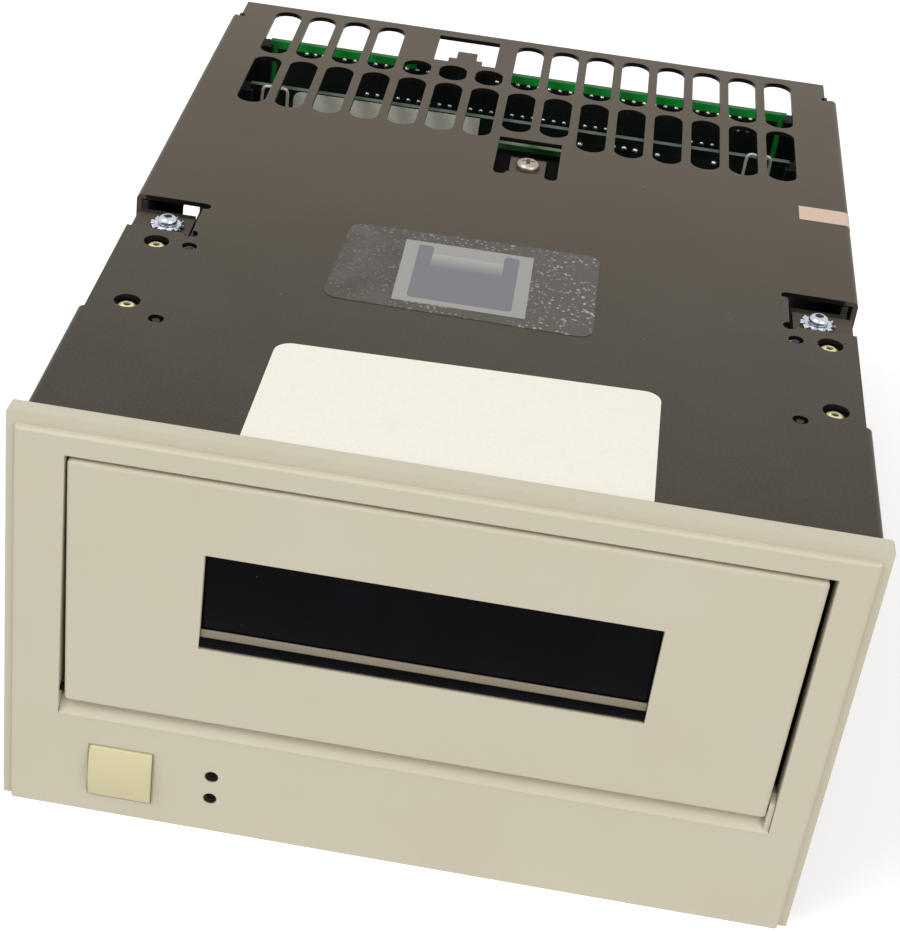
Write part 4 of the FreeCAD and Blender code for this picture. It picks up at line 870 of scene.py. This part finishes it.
# ---------------------------------------------------------------------------------------------
# Sub-assemblies
# ---------------------------------------------------------------------------------------------
@dataclass
class FrontPanel:
    """Bezel, door with its window, unload button and lamps."""

    window_x: Span = (-39.0, 40.8)
    window_z: Span = (42.6, 63.1)
    pane_front: float = 1.0
    pane_back: float = 3.7
    pane_play: float = 0.05
    pane_lap: float = 1.6
    door_back: float = 2.52
    lip_height: float = 2.3
    lip_y: Span = (0.12, 1.0)
    lip_play: float = 0.1
    lip_round: float = 0.75
    ledge_height: float = 1.7
    ledge_y: Span = (0.62, 1.02)
    button_x: Span = (-57.95, -46.05)
    button_z: Span = (4.35, 16.15)
    button_gap: float = 0.3
    button_rise: float = 1.6
    button_edge: float = 0.35
    button_skirt: float = 3.1
    button_sides: int = 60
    lamp_x: float = -34.8
    lamp_z: Sequence[float] = (13.2, 7.9)
    lamp_radius: float = 1.28
    frame_y: Span = (4.3, 5.5)
    frame_half: float = 74.9
    frame_z: Span = (0.6, 84.8)
    frame_corner: float = 1.0
    # Bay, top step and button key, each as its limits along X and Z.
    frame_openings: Sequence[tuple[Span, Span]] = (
        ((-65.8, 68.4), (21.5, 80.4)),
        ((-73.3, 73.3), (84.1, 90.0)),
        ((-56.0, -48.0), (6.3, 14.2)),
    )
    eye_radius: float = 1.3
    stud_x: Span = (-61.0, -29.0)
    stud_y: Span = (5.0, 14.0)
    stud_z: float = 18.3
    stud_radius: float = 1.6
    collar_y: Span = (0.04, 2.2)
    collar_play: float = 0.1
    press_fit: float = 0.02
    sill_x: Span = (-64.15, 66.75)
    sill_y: Span = (0.0, 4.5)
    sill_z: Span = (22.0, 25.15)
    # The sill's slope starts at this height on the bezel's face and climbs to the rear.
    sill_foot: float = 22.52
    sill_slope: Point = (0, -2.6, 1.25)
    boss_x: float = 65.68
    boss_front: float = 0.35
    boss_z: Span = (22.8, 30.4)
    boss_foot: float = 28.6
    sleeve_y: Span = (0.25, 2.65)

    def build(self) -> None:
        """Dress the moulded pieces and model those that need a finer form."""
        for node in ("bezel", "door"):
            dress(node, BEZEL_PLASTIC)
        dress("lamps", LAMP_LENS)
        dress("front_board", Laminate("front_board", MASK_GREEN, "front_board"))
        dress("button_switch", BLACK_PLASTIC)
        # Painted shade: the door pins take the dark sleeve finish so the gaps beside the door stay
        # dark.
        dress("door_pins", LAMP_SLEEVE)
        for node in ("door_spring", "latch_catches"):
            dress(node, SPRING_STEEL)
        self.frame()
        self.window()
        self.button()
        self.collar()
        self.door_sill()
        self.lamp_sleeves()

    def frame(self) -> None:
        """Black steel frame behind the bezel, with its bay, step, key and lamp openings."""
        half, through = self.frame_half, (0.0, 12.0)
        frame = Piece.block("black_frame", (-half, half), self.frame_y, self.frame_z)
        with frame.editing("EDGE"):
            frame.pick(lambda e: abs(e.verts[0].co.y - e.verts[1].co.y) > 1.0)
            bpy.ops.mesh.bevel(offset=self.frame_corner, segments=6)
        for x, z in self.frame_openings:
            frame.subtract(Piece.block("opening", x, through, z))
        for z in self.lamp_z:
            frame.subtract(Piece.round("eye", (self.lamp_x, 5.0, z), self.eye_radius, 6.0, Axis.Y, 40))
        middle, length = sum(self.stud_y) / 2, self.stud_y[1] - self.stud_y[0]
        studs = [Piece.round("stud", (x, middle, self.stud_z), self.stud_radius, length, Axis.Y, 32)
                 for x in self.stud_x]
        frame.merge(studs).soften(0.12, 2, 60).finish(BLACK_COAT, Body.CHASSIS, "black_frame")
        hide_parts("front_frame")

    def collar(self) -> None:
        """Thin moulded collar round the button's hole, a little below the bezel's face."""
        (x0, x1), (z0, z1), play = self.button_x, self.button_z, self.collar_play
        wide = self.button_gap - self.press_fit
        collar = Piece.block("button_collar", (x0 - wide, x1 + wide), self.collar_y,
                             (z0 - wide, z1 + wide))
        hole = Piece.block("hole", (x0 - play, x1 + play), (-1.0, 3.0), (z0 - play, z1 + play))
        collar.subtract(hole).finish(BEZEL_PLASTIC, Body.CHASSIS, "bezel_plastic")

    def door_sill(self) -> None:
        """Sloping sill that closes the space under the door, with a boss at its right end."""
        (x0, x1), (front, back) = self.sill_x, self.sill_y
        sill = Piece.block("door_sill", (x0, x1), (front, back), self.sill_z)
        sill.cut((0, front, self.sill_foot), self.sill_slope)
        boss = Piece.block("boss", (self.boss_x, x1), (self.boss_front, back), self.boss_z)
        boss.cut((0, self.boss_front, self.boss_foot), (0, -1.0, 1.0))
        sill.merge([boss]).soften(0.15, 3, 30).finish(BEZEL_PLASTIC, Body.CHASSIS, "bezel_plastic")

    def lamp_sleeves(self) -> None:
        """Dark sleeves that line the lamp holes, each with a dished end."""
        middle, length = sum(self.sleeve_y) / 2, self.sleeve_y[1] - self.sleeve_y[0]
        dish = ((0.18, 0.0), (0.12, -0.5), (0.5, -0.25))
        sleeves = [Piece.round("sleeve", (self.lamp_x, middle, z), self.lamp_radius, length, Axis.Y, 40)
                   .inset(facing(1, -1), dish) for z in self.lamp_z]
        liners = Piece.gather("lamp_sleeves", sleeves)
        liners.finish(LAMP_SLEEVE, Body.CHASSIS, "lamp_lens")

    def window(self) -> None:
        """Smoked pane, black lip along its foot and the pale ledge above the lip, in door plastic
        darkened with painted shade.
        """
        (x0, x1), (z0, z1) = self.window_x, self.window_z
        play, lap, trim = self.pane_play, self.pane_lap, self.lip_play
        pane = Piece.block("window_pane", (x0 + play, x1 - play),
                           (self.pane_front, self.pane_back - 1.2), (z0 + play, z1 - play))
        pane.soften(0.12, 2)
        rim = Piece.block("window_rim", (x0 - lap, x1 + lap), (self.door_back, self.pane_back),
                          (z0 - lap, z1 + lap)).soften(0.2, 2)
        pane = pane.merge([rim]).finish(WINDOW, Body.DOOR, "smoked_window")
        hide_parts("door_window")
        lip_top = z0 + self.lip_height
        lip = Piece.block("window_lip", (x0 + trim, x1 - trim), self.lip_y, (z0 + trim, lip_top))
        with lip.editing("EDGE"):
            lip.pick(lambda e: all(v.co.y < self.lip_y[0] + 0.1 for v in e.verts)
                     and e.verts[0].co.z == e.verts[1].co.z)
            bpy.ops.mesh.bevel(offset=self.lip_round, segments=8, profile=0.5)
        lip.finish(WINDOW, Body.DOOR, "smoked_window")
        ledge = Piece.block("window_ledge", (x0 + trim, x1 - trim), self.ledge_y,
                            (lip_top, lip_top + self.ledge_height)).soften(0.12, 2)
        # Painted shade: the ledge takes the darkened door plastic.
        ledge.finish(SHADED_LEDGE_PLASTIC, Body.DOOR, "bezel_plastic")

    def button(self) -> None:
        """Crowned button, cut from a round bar that lies along X, with a square skirt."""
        (x0, x1), (z0, z1) = self.button_x, self.button_z
        half, rise = (z1 - z0) / 2, self.button_rise - self.button_edge
        radius = (half ** 2 + rise ** 2) / (2 * rise)
        centre = ((x0 + x1) / 2, radius - self.button_rise, (z0 + z1) / 2)
        cap = Piece.round("button_cap", centre, radius, x1 - x0, Axis.X, self.button_sides)
        cap.cut((0, -self.button_edge, 0), (0, 1, 0))
        cap.extrude(facing(1, 1), (0, self.button_skirt, 0))
        cap.soften(0.3, 4, 40)
        cap.finish(CREAM_PLASTIC, Body.BUTTON, "button_plastic", 40)
        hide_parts("unload_button")


@dataclass
class CoverLabels:
    """Blank labels on the cover: white stock, silver film with its print, pink strip."""

    top: float = 84.1
    paper: float = 0.12
    # Corners of each sheet: front left, front right, rear right, rear left.
    white: Sequence[Span] = ((-35.6, 4.6), (35.0, 4.6), (35.4, 43.2), (-35.0, 40.2))
    film: Sequence[Span] = ((-30.0, 60.2), (21.9, 59.6), (21.8, 93.6), (-28.6, 92.4))
    inner: Sequence[Span] = ((-16.9, 63.0), (8.8, 63.0), (8.7, 88.7), (-17.0, 88.6))
    panel_x: Span = (-14.2, 6.0)
    panel_y: Span = (64.9, 84.0)
    ear: float = 3.0
    ear_rise: float = 3.2
    ear_round: float = 0.9
    strip_x: float = 62.7
    strip_y: Span = (125.8, 132.3)
    strip_paper: float = 0.08
    strip_drop: float = 2.4
    corner: float = 1.2
    side: float = 73.6
    bezel_back: float = 5.6
    ink: float = 0.03

    def build(self) -> None:
        """Lay the labels on the cover."""
        self.white_label()
        self.silver_label()
        self.pink_strip()

    def white_label(self) -> None:
        """Large white label that runs forward to the bezel."""
        label = Piece.sheet("white_label", self.white, self.top)
        label.cut((0, self.bezel_back, 0), (0, -1, 0))
        label.round_corners(lambda v: v.co.y > self.bezel_back + 1, 3.2)
        label.thicken(self.paper)
        label.finish(WHITE_PAPER, Body.CHASSIS, "button_plastic")

    def silver_label(self) -> None:
        """Speckled film with a pale print and a notched blue-grey panel on it."""
        film = Piece.sheet("silver_film", self.film, self.top)
        film.round_corners(lambda v: True, 3.0)
        film.thicken(self.paper)
        film.finish(SILVER_FILM, Body.CHASSIS, "zinc_steel")
        level = self.top + self.paper
        inner = Piece.sheet("pale_print", self.inner, level)
        inner.thicken(self.ink)
        inner.finish(GREY_PRINT, Body.CHASSIS, "zinc_steel")
        (x0, x1), (y0, y1) = self.panel_x, self.panel_y
        layer = (level + self.ink, level + self.ink + 0.02)
        middle = Piece.block("blue_panel", (x0 + self.ear, x1 - self.ear), (y0, y1), layer)
        middle.finish(FADED_PRINT, Body.CHASSIS, "zinc_steel")
        ears = [Piece.block("blue_ears", x, (y0, y1 + self.ear_rise), layer)
                for x in ((x0, x0 + self.ear), (x1 - self.ear, x1))]
        for ear, outer in zip(ears, (x0, x1)):
            with ear.editing("EDGE"):
                ear.pick(lambda e: abs(e.verts[0].co.z - e.verts[1].co.z) > 0.01
                         and (e.verts[0].co.y > y1 or abs(e.verts[0].co.x - outer) < 0.01))
                bpy.ops.mesh.bevel(offset=self.ear_round, segments=5)
        ears[0].merge(ears[1:]).finish(BLUE_PRINT, Body.CHASSIS, "zinc_steel")

    def pink_strip(self) -> None:
        """Narrow strip that wraps over the cover's right-hand edge."""
        bend, (y0, y1) = self.side - self.corner, self.strip_y
        corners = ((self.strip_x, y0), (bend, y0), (bend, y1), (self.strip_x, y1))
        strip = Piece.sheet("pink_strip", corners, self.top + 0.02)
        with strip.editing("EDGE"):
            strip.pick(lambda e: all(v.co.x > bend - 0.1 for v in e.verts))
            bpy.ops.mesh.spin(steps=7, angle=-math.pi / 2, axis=(0, 1, 0),
                              center=(bend, 0, self.top - self.corner))
        with strip.editing("EDGE"):
            low = min(v.co.z for v in strip.obj.data.vertices)
            strip.pick(lambda e: all(v.co.z < low + 0.02 for v in e.verts))
            drop = (0, 0, -self.strip_drop)
            bpy.ops.mesh.extrude_region_move(TRANSFORM_OT_translate={"value": drop})
        strip.face_outwards()
        strip.thicken(self.strip_paper)
        strip.finish(PINK_PAPER, Body.CHASSIS, "button_plastic", 60)


@dataclass(frozen=True)
class SocketScrew:
    """Sizes of a pan-headed screw with a six-sided socket; heights are above its seat.

    Args:
        head: radius of the head.
        tall: height of the head.
        socket: radius of the socket over its corners.
        floor: height at which the socket ends.
        open: height up to which the socket is cut.
        dark: height of the unlit floor inside the socket.
        shank: radius of the shank.
        length: length of the shank.
    """

    head: float
    tall: float
    socket: float
    floor: float
    open: float
    dark: float
    shank: float
    length: float


@dataclass
class Fasteners:
    """Screws, toothed washers and locating posts that show on the cover."""

    flap_screws: Sequence[Span] = ((-64.6, 82.8), (65.4, 82.8))
    flap_top: float = 81.9
    flap_size: SocketScrew = SocketScrew(1.95, 1.5, 0.95, 0.6, 2.8, 0.6, 1.3, 5.0)
    washer_seat: float = 0.9
    washer_radius: float = 2.75
    washer_bore: float = 1.32
    washer_thickness: float = 0.6
    teeth: int = 10
    tooth_x: Span = (2.4, 3.4)
    tooth_half: float = 0.66
    tooth_z: Span = (0.24, 0.72)
    tooth_twist: float = 34.0
    tab_screw: Span = (4.1, 134.6)
    tab_top: float = 82.5
    tab_head: Span = (2.55, 1.7)
    # Half the length and half the width of each arm of the cross recess.
    cross_half: Span = (1.45, 0.42)
    cross_floor: float = 0.25
    brass_x: Span = (-64.5, 67.1)
    brass_y: Span = (46.8, 71.8)
    brass_size: SocketScrew = SocketScrew(1.85, 1.35, 0.8, 0.7, 2.3, 0.82, 1.25, 5.2)
    ear_top: float = 80.9 + 1.2
    floor_play: float = 0.02
    floor_thickness: float = 0.3

    def build(self) -> None:
        """Model the visible screws and dress the plain ones."""
        dress("rail_posts", BLACK_STEEL)
        for node in ("board_screws", "holder_pins", "board_standoffs", "pinch_pivot"):
            dress(node, BRIGHT_ZINC)
        self.side_screws()
        self.washers()
        self.centre_screw()
        self.brass_screws()
        self.socket_floors()

    def socket_floors(self) -> None:
        """Dark floors of the six-sided sockets, where no light reaches."""
        seats = [(at, self.flap_top + self.washer_seat, self.flap_size) for at in self.flap_screws]
        seats += [((x, y), self.ear_top, self.brass_size) for x in self.brass_x for y in self.brass_y]
        floors = [Piece.round("floor", (*at, seat + size.dark), size.socket - self.floor_play,
                              self.floor_thickness, Axis.Z, 6)
                  .inset(facing(2, 1), ((0.25, -0.08),)) for at, seat, size in seats]
        sockets = Piece.gather("socket_floors", floors)
        sockets.finish(BLACK_STEEL, Body.CHASSIS, "bright_screws")

    def head(self, name: str, at: Span, seat: float, radius: float, tall: float) -> Piece:
        """Pan head: a low cylinder whose top is drawn up into a dome."""
        wall = tall * 0.45
        head = Piece.round(name, (*at, seat + wall / 2), radius, wall)
        rise = tall - wall
        steps = ((radius * 0.10, rise * 0.42), (radius * 0.16, rise * 0.30),
                 (radius * 0.22, rise * 0.20), (radius * 0.24, rise * 0.08))
        return head.inset(facing(2, 1, seat + wall), steps)

    def socket_screw(self, name: str, at: Span, seat: float, size: SocketScrew) -> Piece:
        """Pan head with its socket cut, on a plain shank."""
        head = self.head(name, at, seat, size.head, size.tall)
        socket = Piece.round("socket", (*at, seat + (size.floor + size.open) / 2), size.socket,
                             size.open - size.floor, Axis.Z, 6)
        shank = Piece.round("shank", (*at, seat - size.length / 2), size.shank, size.length,
                            Axis.Z, 32)
        return head.subtract(socket).merge([shank])

    def side_screws(self) -> None:
        """Two zinc screws with six-sided sockets on the flaps."""
        seat = self.flap_top + self.washer_seat
        screws = Piece.gather("side_screws", [self.socket_screw("zinc", at, seat, self.flap_size)
                                              for at in self.flap_screws])
        screws.soften(0.06, 2, 50).finish(BRIGHT_ZINC, Body.CHASSIS, "bright_screws", 40)
        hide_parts("cover_screws")

    def washers(self) -> None:
        """Toothed lock washers: a ring with twisted teeth."""
        washers = Piece.gather("lock_washers", [self.washer(*at) for at in self.flap_screws])
        washers.soften(0.05, 1, 50).finish(BRIGHT_ZINC, Body.CHASSIS, "bright_screws", 30)
        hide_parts("star_washers")

    def washer(self, x: float, y: float) -> Piece:
        """One lock washer, its teeth spun from a single tapered and twisted one."""
        middle = (x, y, self.flap_top + 0.5)
        ring = Piece.round("ring", middle, self.washer_radius, self.washer_thickness)
        ring.subtract(Piece.round("bore", middle, self.washer_bore, 2.0))
        (root, tip), half = self.tooth_x, self.tooth_half
        tooth = Piece.block("tooth", (x + root, x + tip), (y - half, y + half),
                            tuple(self.flap_top + z for z in self.tooth_z))
        with tooth.editing("VERT"):
            tooth.pick(lambda v: v.co.x > x + tip - 0.1)
            bpy.ops.transform.resize(value=(1.0, 0.72, 1.0),
                                     center_override=(x + tip, y, self.flap_top + 0.48))
            bpy.ops.transform.rotate(value=math.radians(self.tooth_twist), orient_axis="X",
                                     center_override=(x + tip, y, self.flap_top + 0.62))
        with tooth.editing("FACE"):
            bpy.ops.mesh.select_all(action="SELECT")
            bpy.ops.mesh.spin(steps=self.teeth, dupli=True, angle=2 * math.pi, axis=(0, 0, 1),
                              center=(x, y, 0))
        return ring.merge([tooth])

    def centre_screw(self) -> None:
        """Screw with a cross recess on the cover's centre tab."""
        (x, y), seat, (arm, half) = self.tab_screw, self.tab_top, self.cross_half
        head = self.head("centre_screw", (x, y), seat, *self.tab_head)
        deep = (seat + self.cross_floor, seat + 3.0)
        arms = Piece.block("arms", (x - arm, x + arm), (y - half, y + half), deep)
        across = Piece.block("across", (x - half, x + half), (y - arm, y + arm), deep)
        head.subtract(arms).subtract(across)
        head.soften(0.05, 2, 50).finish(DULL_NICKEL, Body.CHASSIS, "bright_screws", 40)

    def brass_screws(self) -> None:
        """Four brass rail screws, sunk under the cover's round holes."""
        screws = Piece.gather("brass_rail_screws",
                              [self.socket_screw("brass", (x, y), self.ear_top, self.brass_size)
                               for x in self.brass_x for y in self.brass_y])
        screws.soften(0.05, 2, 50).finish(BRASS, Body.CHASSIS, "brass_screws", 40)
        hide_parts("rail_screws")


@dataclass
class CardCage:
    """Three upright cards and the main board, with what is soldered to them."""

    pin_pitch: float = 2.55
    # Rows of pins: the first pin's X and how many follow at the pitch.
    high_rows: Sequence[tuple[float, int]] = ((-44.2, 9), (-6.95, 25))
    low_rows: Sequence[tuple[float, int]] = ((-37.9, 24), (41.5, 3))
    row_high: float = 77.65
    row_low: float = 69.75
    odd_joints: Sequence[Span] = ((-53.5, 77.7), (-51.4, 77.7), (-49.4, 77.7),
                                  (51.9, 74.5), (54.3, 74.5))
    # Radius of a bead, and how flat it is.
    rear_bead: Span = (0.62, 0.62)
    middle_bead: Span = (0.75, 0.7)
    bead_proud: float = -0.05
    rear_front: float = 191.0
    middle_front: float = 163.5
    middle_dots: Sequence[tuple[float, float]] = ((14.8, 76.9), (32.7, 77.1), (45.6, 77.2),
                                                  (22.4, 77.6), (24.9, 77.6), (27.5, 77.4))
    label_x: Span = (-52.2, -8.7)
    label_z: Span = (66.0, 79.7)
    label_corner: float = 1.8
    bail_x: Sequence[Span] = ((-59.4, -53.4), (52.5, 58.1))
    bail_top: Span = (80.4, 81.3)
    bail_gap: float = 1.2
    bail_foot: float = 64.0
    bail_wire: float = 0.36
    clamp_lap: float = 1.2
    clamp_z: Span = (63.0, 66.5)

    def build(self) -> None:
        """Dress the boards and model solder, label and wire bails."""
        # Upright cards: their dark field is painted shade and their bright rim band is painted light,
        # left out on the rear card over an unlit stretch.
        dress("front_card", Laminate("front_card", SHADED_CARD_FIELD, "front_card", lit_rim_mm=1.3,
                                     lit_rim=display(56, 114, 60), sawn=display(88, 123, 84)))
        dress("rear_card", Laminate("rear_card", SHADED_CARD_FIELD, "rear_card",
                                    unlit_stretch=(-0.0265, -0.0035)))
        dress("middle_card", Laminate("middle_card", SHADED_CARD_FIELD, "middle_card", lit_rim=SHADED_CARD_FIELD,
                                      sawn=display(82, 104, 86)))
        dress("base_board", Laminate("base_board", MASK_GREEN, "base_board", upright=False))
        for node in ("front_card_parts", "middle_card_parts", "rear_card_parts"):
            dress(node, CHIP_PLASTIC)
        for node in ("card_sockets", "host_connector", "address_jumpers", "card_guides"):
            dress(node, BLACK_PLASTIC)
        dress("power_inlet", WHITE_PLASTIC)
        dress("connector_pins", BRIGHT_ZINC)
        self.rear_solder()
        self.middle_solder()
        self.card_label()
        self.bails()

    def rear_solder(self) -> None:
        """Solder beads of the package legs, on the front face of the rear card."""
        bead = Piece.dome("rear_solder", (0, self.rear_front, 0), *self.rear_bead, Axis.Y)
        moves = [(start + self.pin_pitch * k, self.bead_proud, row)
                 for row, groups in ((self.row_high, self.high_rows), (self.row_low, self.low_rows))
                 for start, count in groups for k in range(count)]
        moves += [(x, self.bead_proud, z) for x, z in self.odd_joints]
        bead.repeat(moves).finish(SOLDER, Body.CHASSIS, "bright_screws", 60)

    def middle_solder(self) -> None:
        """Larger beads on the front face of the middle card."""
        bead = Piece.dome("middle_solder", (0, self.middle_front, 0), *self.middle_bead, Axis.Y)
        bead.repeat([(x, self.bead_proud, z) for x, z in self.middle_dots])
        bead.finish(SOLDER, Body.CHASSIS, "bright_screws", 60)

    def card_label(self) -> None:
        """Blank off-white label on the middle card."""
        label = Piece.block("card_label", self.label_x,
                            (self.middle_front - 0.12, self.middle_front - 0.01),
                            self.label_z)
        with label.editing("EDGE"):
            label.pick(lambda e: abs(e.verts[0].co.y - e.verts[1].co.y) > 0.05
                       and e.verts[0].co.x < self.label_x[0] + 0.1)
            bpy.ops.mesh.bevel(offset=self.label_corner, segments=6)
        label.finish(CARD_PAPER, Body.CHASSIS, "connector_white")

    def bails(self) -> None:
        """Two round wire arches in front of the middle card."""
        y, lap = self.middle_front - self.bail_gap, self.clamp_lap
        wires = []
        for k, ((x0, x1), top) in enumerate(zip(self.bail_x, self.bail_top)):
            wires.append(self.bent_wire(f"bail_{k}", x0, x1, y, top))
            wires.append(Piece.block("clamp", (x0 - lap, x1 + lap), (y - 1.0, self.middle_front),
                                     self.clamp_z).soften(0.3, 3))
        bails = Piece.gather("wire_bails", wires)
        bails.finish(BAIL_WIRE, Body.CHASSIS, "bail_wire", 60)
        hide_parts("card_bails")

    def bent_wire(self, name: str, x0: float, x1: float, y: float, top: float) -> Piece:
        """Round wire up one side, over the top and down the other."""
        clear_selection()
        bpy.ops.curve.primitive_nurbs_path_add()
        curve = bpy.context.active_object
        foot, straight, middle = self.bail_foot, 72.0, (x0 + x1) / 2
        half = ((x0, foot), (x0, straight), (x0, top - 1.8), (x0 + 0.3, top), (x0 + 2.2, top))
        route = half + tuple((2 * middle - x, z) for x, z in reversed(half))
        line = curve.data.splines[0]
        line.points.add(len(route) - len(line.points))
        for point, (x, z) in zip(line.points, route):
            point.co = (x, y, z, 1.0)
        line.order_u = 3
        line.use_endpoint_u = True
        curve.data.bevel_depth = self.bail_wire
        curve.data.bevel_resolution = 5
        curve.data.resolution_u = 8
        curve.data.use_fill_caps = True
        bpy.ops.object.convert(target="MESH")
        return Piece(bpy.context.active_object, name)


@dataclass
class Enclosure:
    """Cover, tub and the steel that stands inside it."""

    steel: Sequence[str] = ("side_rails", "bay_guides")

    def build(self) -> None:
        """Dress the sheet metal."""
        dress("top_cover", COVER_COAT)
        dress("chassis_tub", TUB_COAT)
        dress("cross_brace", SHADE_BLACK)
        for node in self.steel:
            dress(node, ZINC_SHEET)
        dress("shock_grommets", RUBBER)


@dataclass
class TapeDeck:
    """Tape transport under the cover: drum, reels, capstan, loading ring."""

    alloy: Colour = display(206, 207, 210)
    polished: Colour = display(214, 215, 220)

    def turned(self, node: str, colour: Colour, roughness: float = 0.22) -> None:
        """Dress a node as metal turned about its own middle."""
        low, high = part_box(node)
        centre = ((low.x + high.x) / 2, (low.y + high.y) / 2)
        dress(node, TurnedMetal(node, colour, centre, roughness))

    def build(self) -> None:
        """Dress the deck."""
        dress("deck_plate", PlatedSteel("deck_alloy", self.alloy, (1.0, 1.0, 1.0), 0.4, 1.2))
        for node in ("upper_drum", "lower_drum"):
            self.turned(node, self.alloy, 0.18)
        for node in ("capstan", "guide_posts", "tape_guides", "ring_rollers"):
            self.turned(node, self.polished, 0.14)
        dress("capstan_bearing", BRASS)
        dress("pinch_arm", ZINC_SHEET)
        dress("pinch_roller", RUBBER)
        dress("cassette_holder", HOLDER_SHEET)
        for node in ("supply_reel", "takeup_reel", "loading_ring", "loading_pinion"):
            dress(node, BLACK_PLASTIC)
        for node in ("drum_motor", "reel_motors", "capstan_motor", "loading_motor"):
            dress(node, MOTOR_CAN)
        dress("deck_ribbon", CABLE_GREY)


# ---------------------------------------------------------------------------------------------
# Studio
# ---------------------------------------------------------------------------------------------
@dataclass
class Camera:
    """Camera that looks down on the drive's left front from above the bezel."""

    at: Point = (8.75, -296.66, 278.25)
    right: Point = (0.98439, 0.14996, 0.09218)
    down: Point = (0.16058, -0.55055, -0.81921)
    lens: float = 85.50
    sensor: float = 36.0
    shift: Span = (0.1286, 0.0658)

    def build(self) -> None:
        """Make the camera and set it as the scene's."""
        data = bpy.data.cameras.new("camera")
        data.lens = self.lens
        data.sensor_width = self.sensor
        data.sensor_fit = "HORIZONTAL"
        data.shift_x, data.shift_y = self.shift
        data.clip_start = 0.01
        camera = bpy.data.objects.new("camera", data)
        bpy.context.scene.collection.objects.link(camera)
        right = Vector(self.right).normalized()
        up = -Vector(self.down)
        up = (up - up.dot(right) * right).normalized()
        back = right.cross(up)
        place = Matrix((right, up, back)).transposed().to_4x4()
        place.translation = Vector(self.at) * MM + Vector((0, front_of_drive(), 0))
        camera.matrix_world = place
        bpy.context.scene.camera = camera


@dataclass
class Lamp:
    """One soft area lamp, aimed at the middle of the drive."""

    name: str
    at: Point
    size: float
    power: float
    tint: Colour = (1.0, 1.0, 1.0)

    def build(self) -> None:
        """Hang the lamp and aim it."""
        data = bpy.data.lights.new(self.name, "AREA")
        data.shape = "DISK"
        data.size = self.size
        data.energy = self.power
        data.color = self.tint
        lamp = bpy.data.objects.new(self.name, data)
        bpy.context.scene.collection.objects.link(lamp)
        lamp.location = self.at
        aim = Vector((0, 0, 0.04)) - Vector(self.at)
        lamp.rotation_euler = aim.to_track_quat("-Z", "Y").to_euler()


@dataclass
class Studio:
    """White sweep, soft lamps and a plain pale surround."""

    lamps: Sequence[Lamp] = (
        Lamp("key", (-0.75, -0.55, 1.25), 0.9, 10.5, (0.97, 1.0, 1.0)),
        Lamp("fill", (0.95, -1.0, 0.9), 1.2, 9.5, (1.0, 0.95, 0.87)),
    )
    surround: float = 0.46
    floor_colour: Colour = (0.82, 0.82, 0.82)

    def build(self) -> None:
        """Lay the floor, hang the lamps, set the surround."""
        self.floor()
        self.world()
        for lamp in self.lamps:
            lamp.build()
        bpy.context.scene.view_settings.view_transform = "Standard"

    def seen(self, tree: bpy.types.NodeTree) -> Socket:
        """1 for rays that come from the camera, a gloss or a clear surface."""
        path = tree.nodes.new("ShaderNodeLightPath")
        total = path.outputs["Is Camera Ray"]
        for name in ("Is Glossy Ray", "Is Transmission Ray"):
            add = tree.nodes.new("ShaderNodeMath")
            add.operation = "MAXIMUM"
            tree.links.new(total, add.inputs[0])
            tree.links.new(path.outputs[name], add.inputs[1])
            total = add.outputs[0]
        return total

    def floor(self) -> None:
        """Large plain floor that takes the shadow and stays white elsewhere."""
        clear_selection()
        bpy.ops.mesh.primitive_plane_add(size=8, location=(0, 0, 0))
        floor = bpy.context.active_object
        floor.name = "floor"
        graph = Graph("floor_white")
        graph.set(Base_Color=self.floor_colour, Roughness=0.9, Specular_IOR_Level=0.0)
        glow = graph.times(self.seen(graph.tree), 0.48)
        graph.set(Emission_Color=(1.0, 1.0, 1.0), Emission_Strength=glow)
        floor.data.materials.append(graph.material)

    def world(self) -> None:
        """White behind everything, dimmer as a light."""
        world = bpy.data.worlds.new("surround")
        world.use_nodes = True
        tree = world.node_tree
        sky = tree.nodes["Background"]
        sky.inputs["Color"].default_value = (1.0, 1.0, 1.0, 1.0)
        lift = tree.nodes.new("ShaderNodeMapRange")
        tree.links.new(self.seen(tree), lift.inputs["Value"])
        lift.inputs["To Min"].default_value = self.surround
        lift.inputs["To Max"].default_value = 1.0
        tree.links.new(lift.outputs["Result"], sky.inputs["Strength"])
        bpy.context.scene.world = world


def main() -> None:
    """Build the drive's looks piece by piece, then the studio."""
    logging.basicConfig(level=logging.INFO, format="%(name)s: %(message)s")
    Camera().build()
    for part in (Enclosure(), FrontPanel(), CoverLabels(), Fasteners(), CardCage(), TapeDeck()):
        LOG.info("building %s", type(part).__name__)
        part.build()
    Studio().build()


if __name__ == "__main__":
    main()
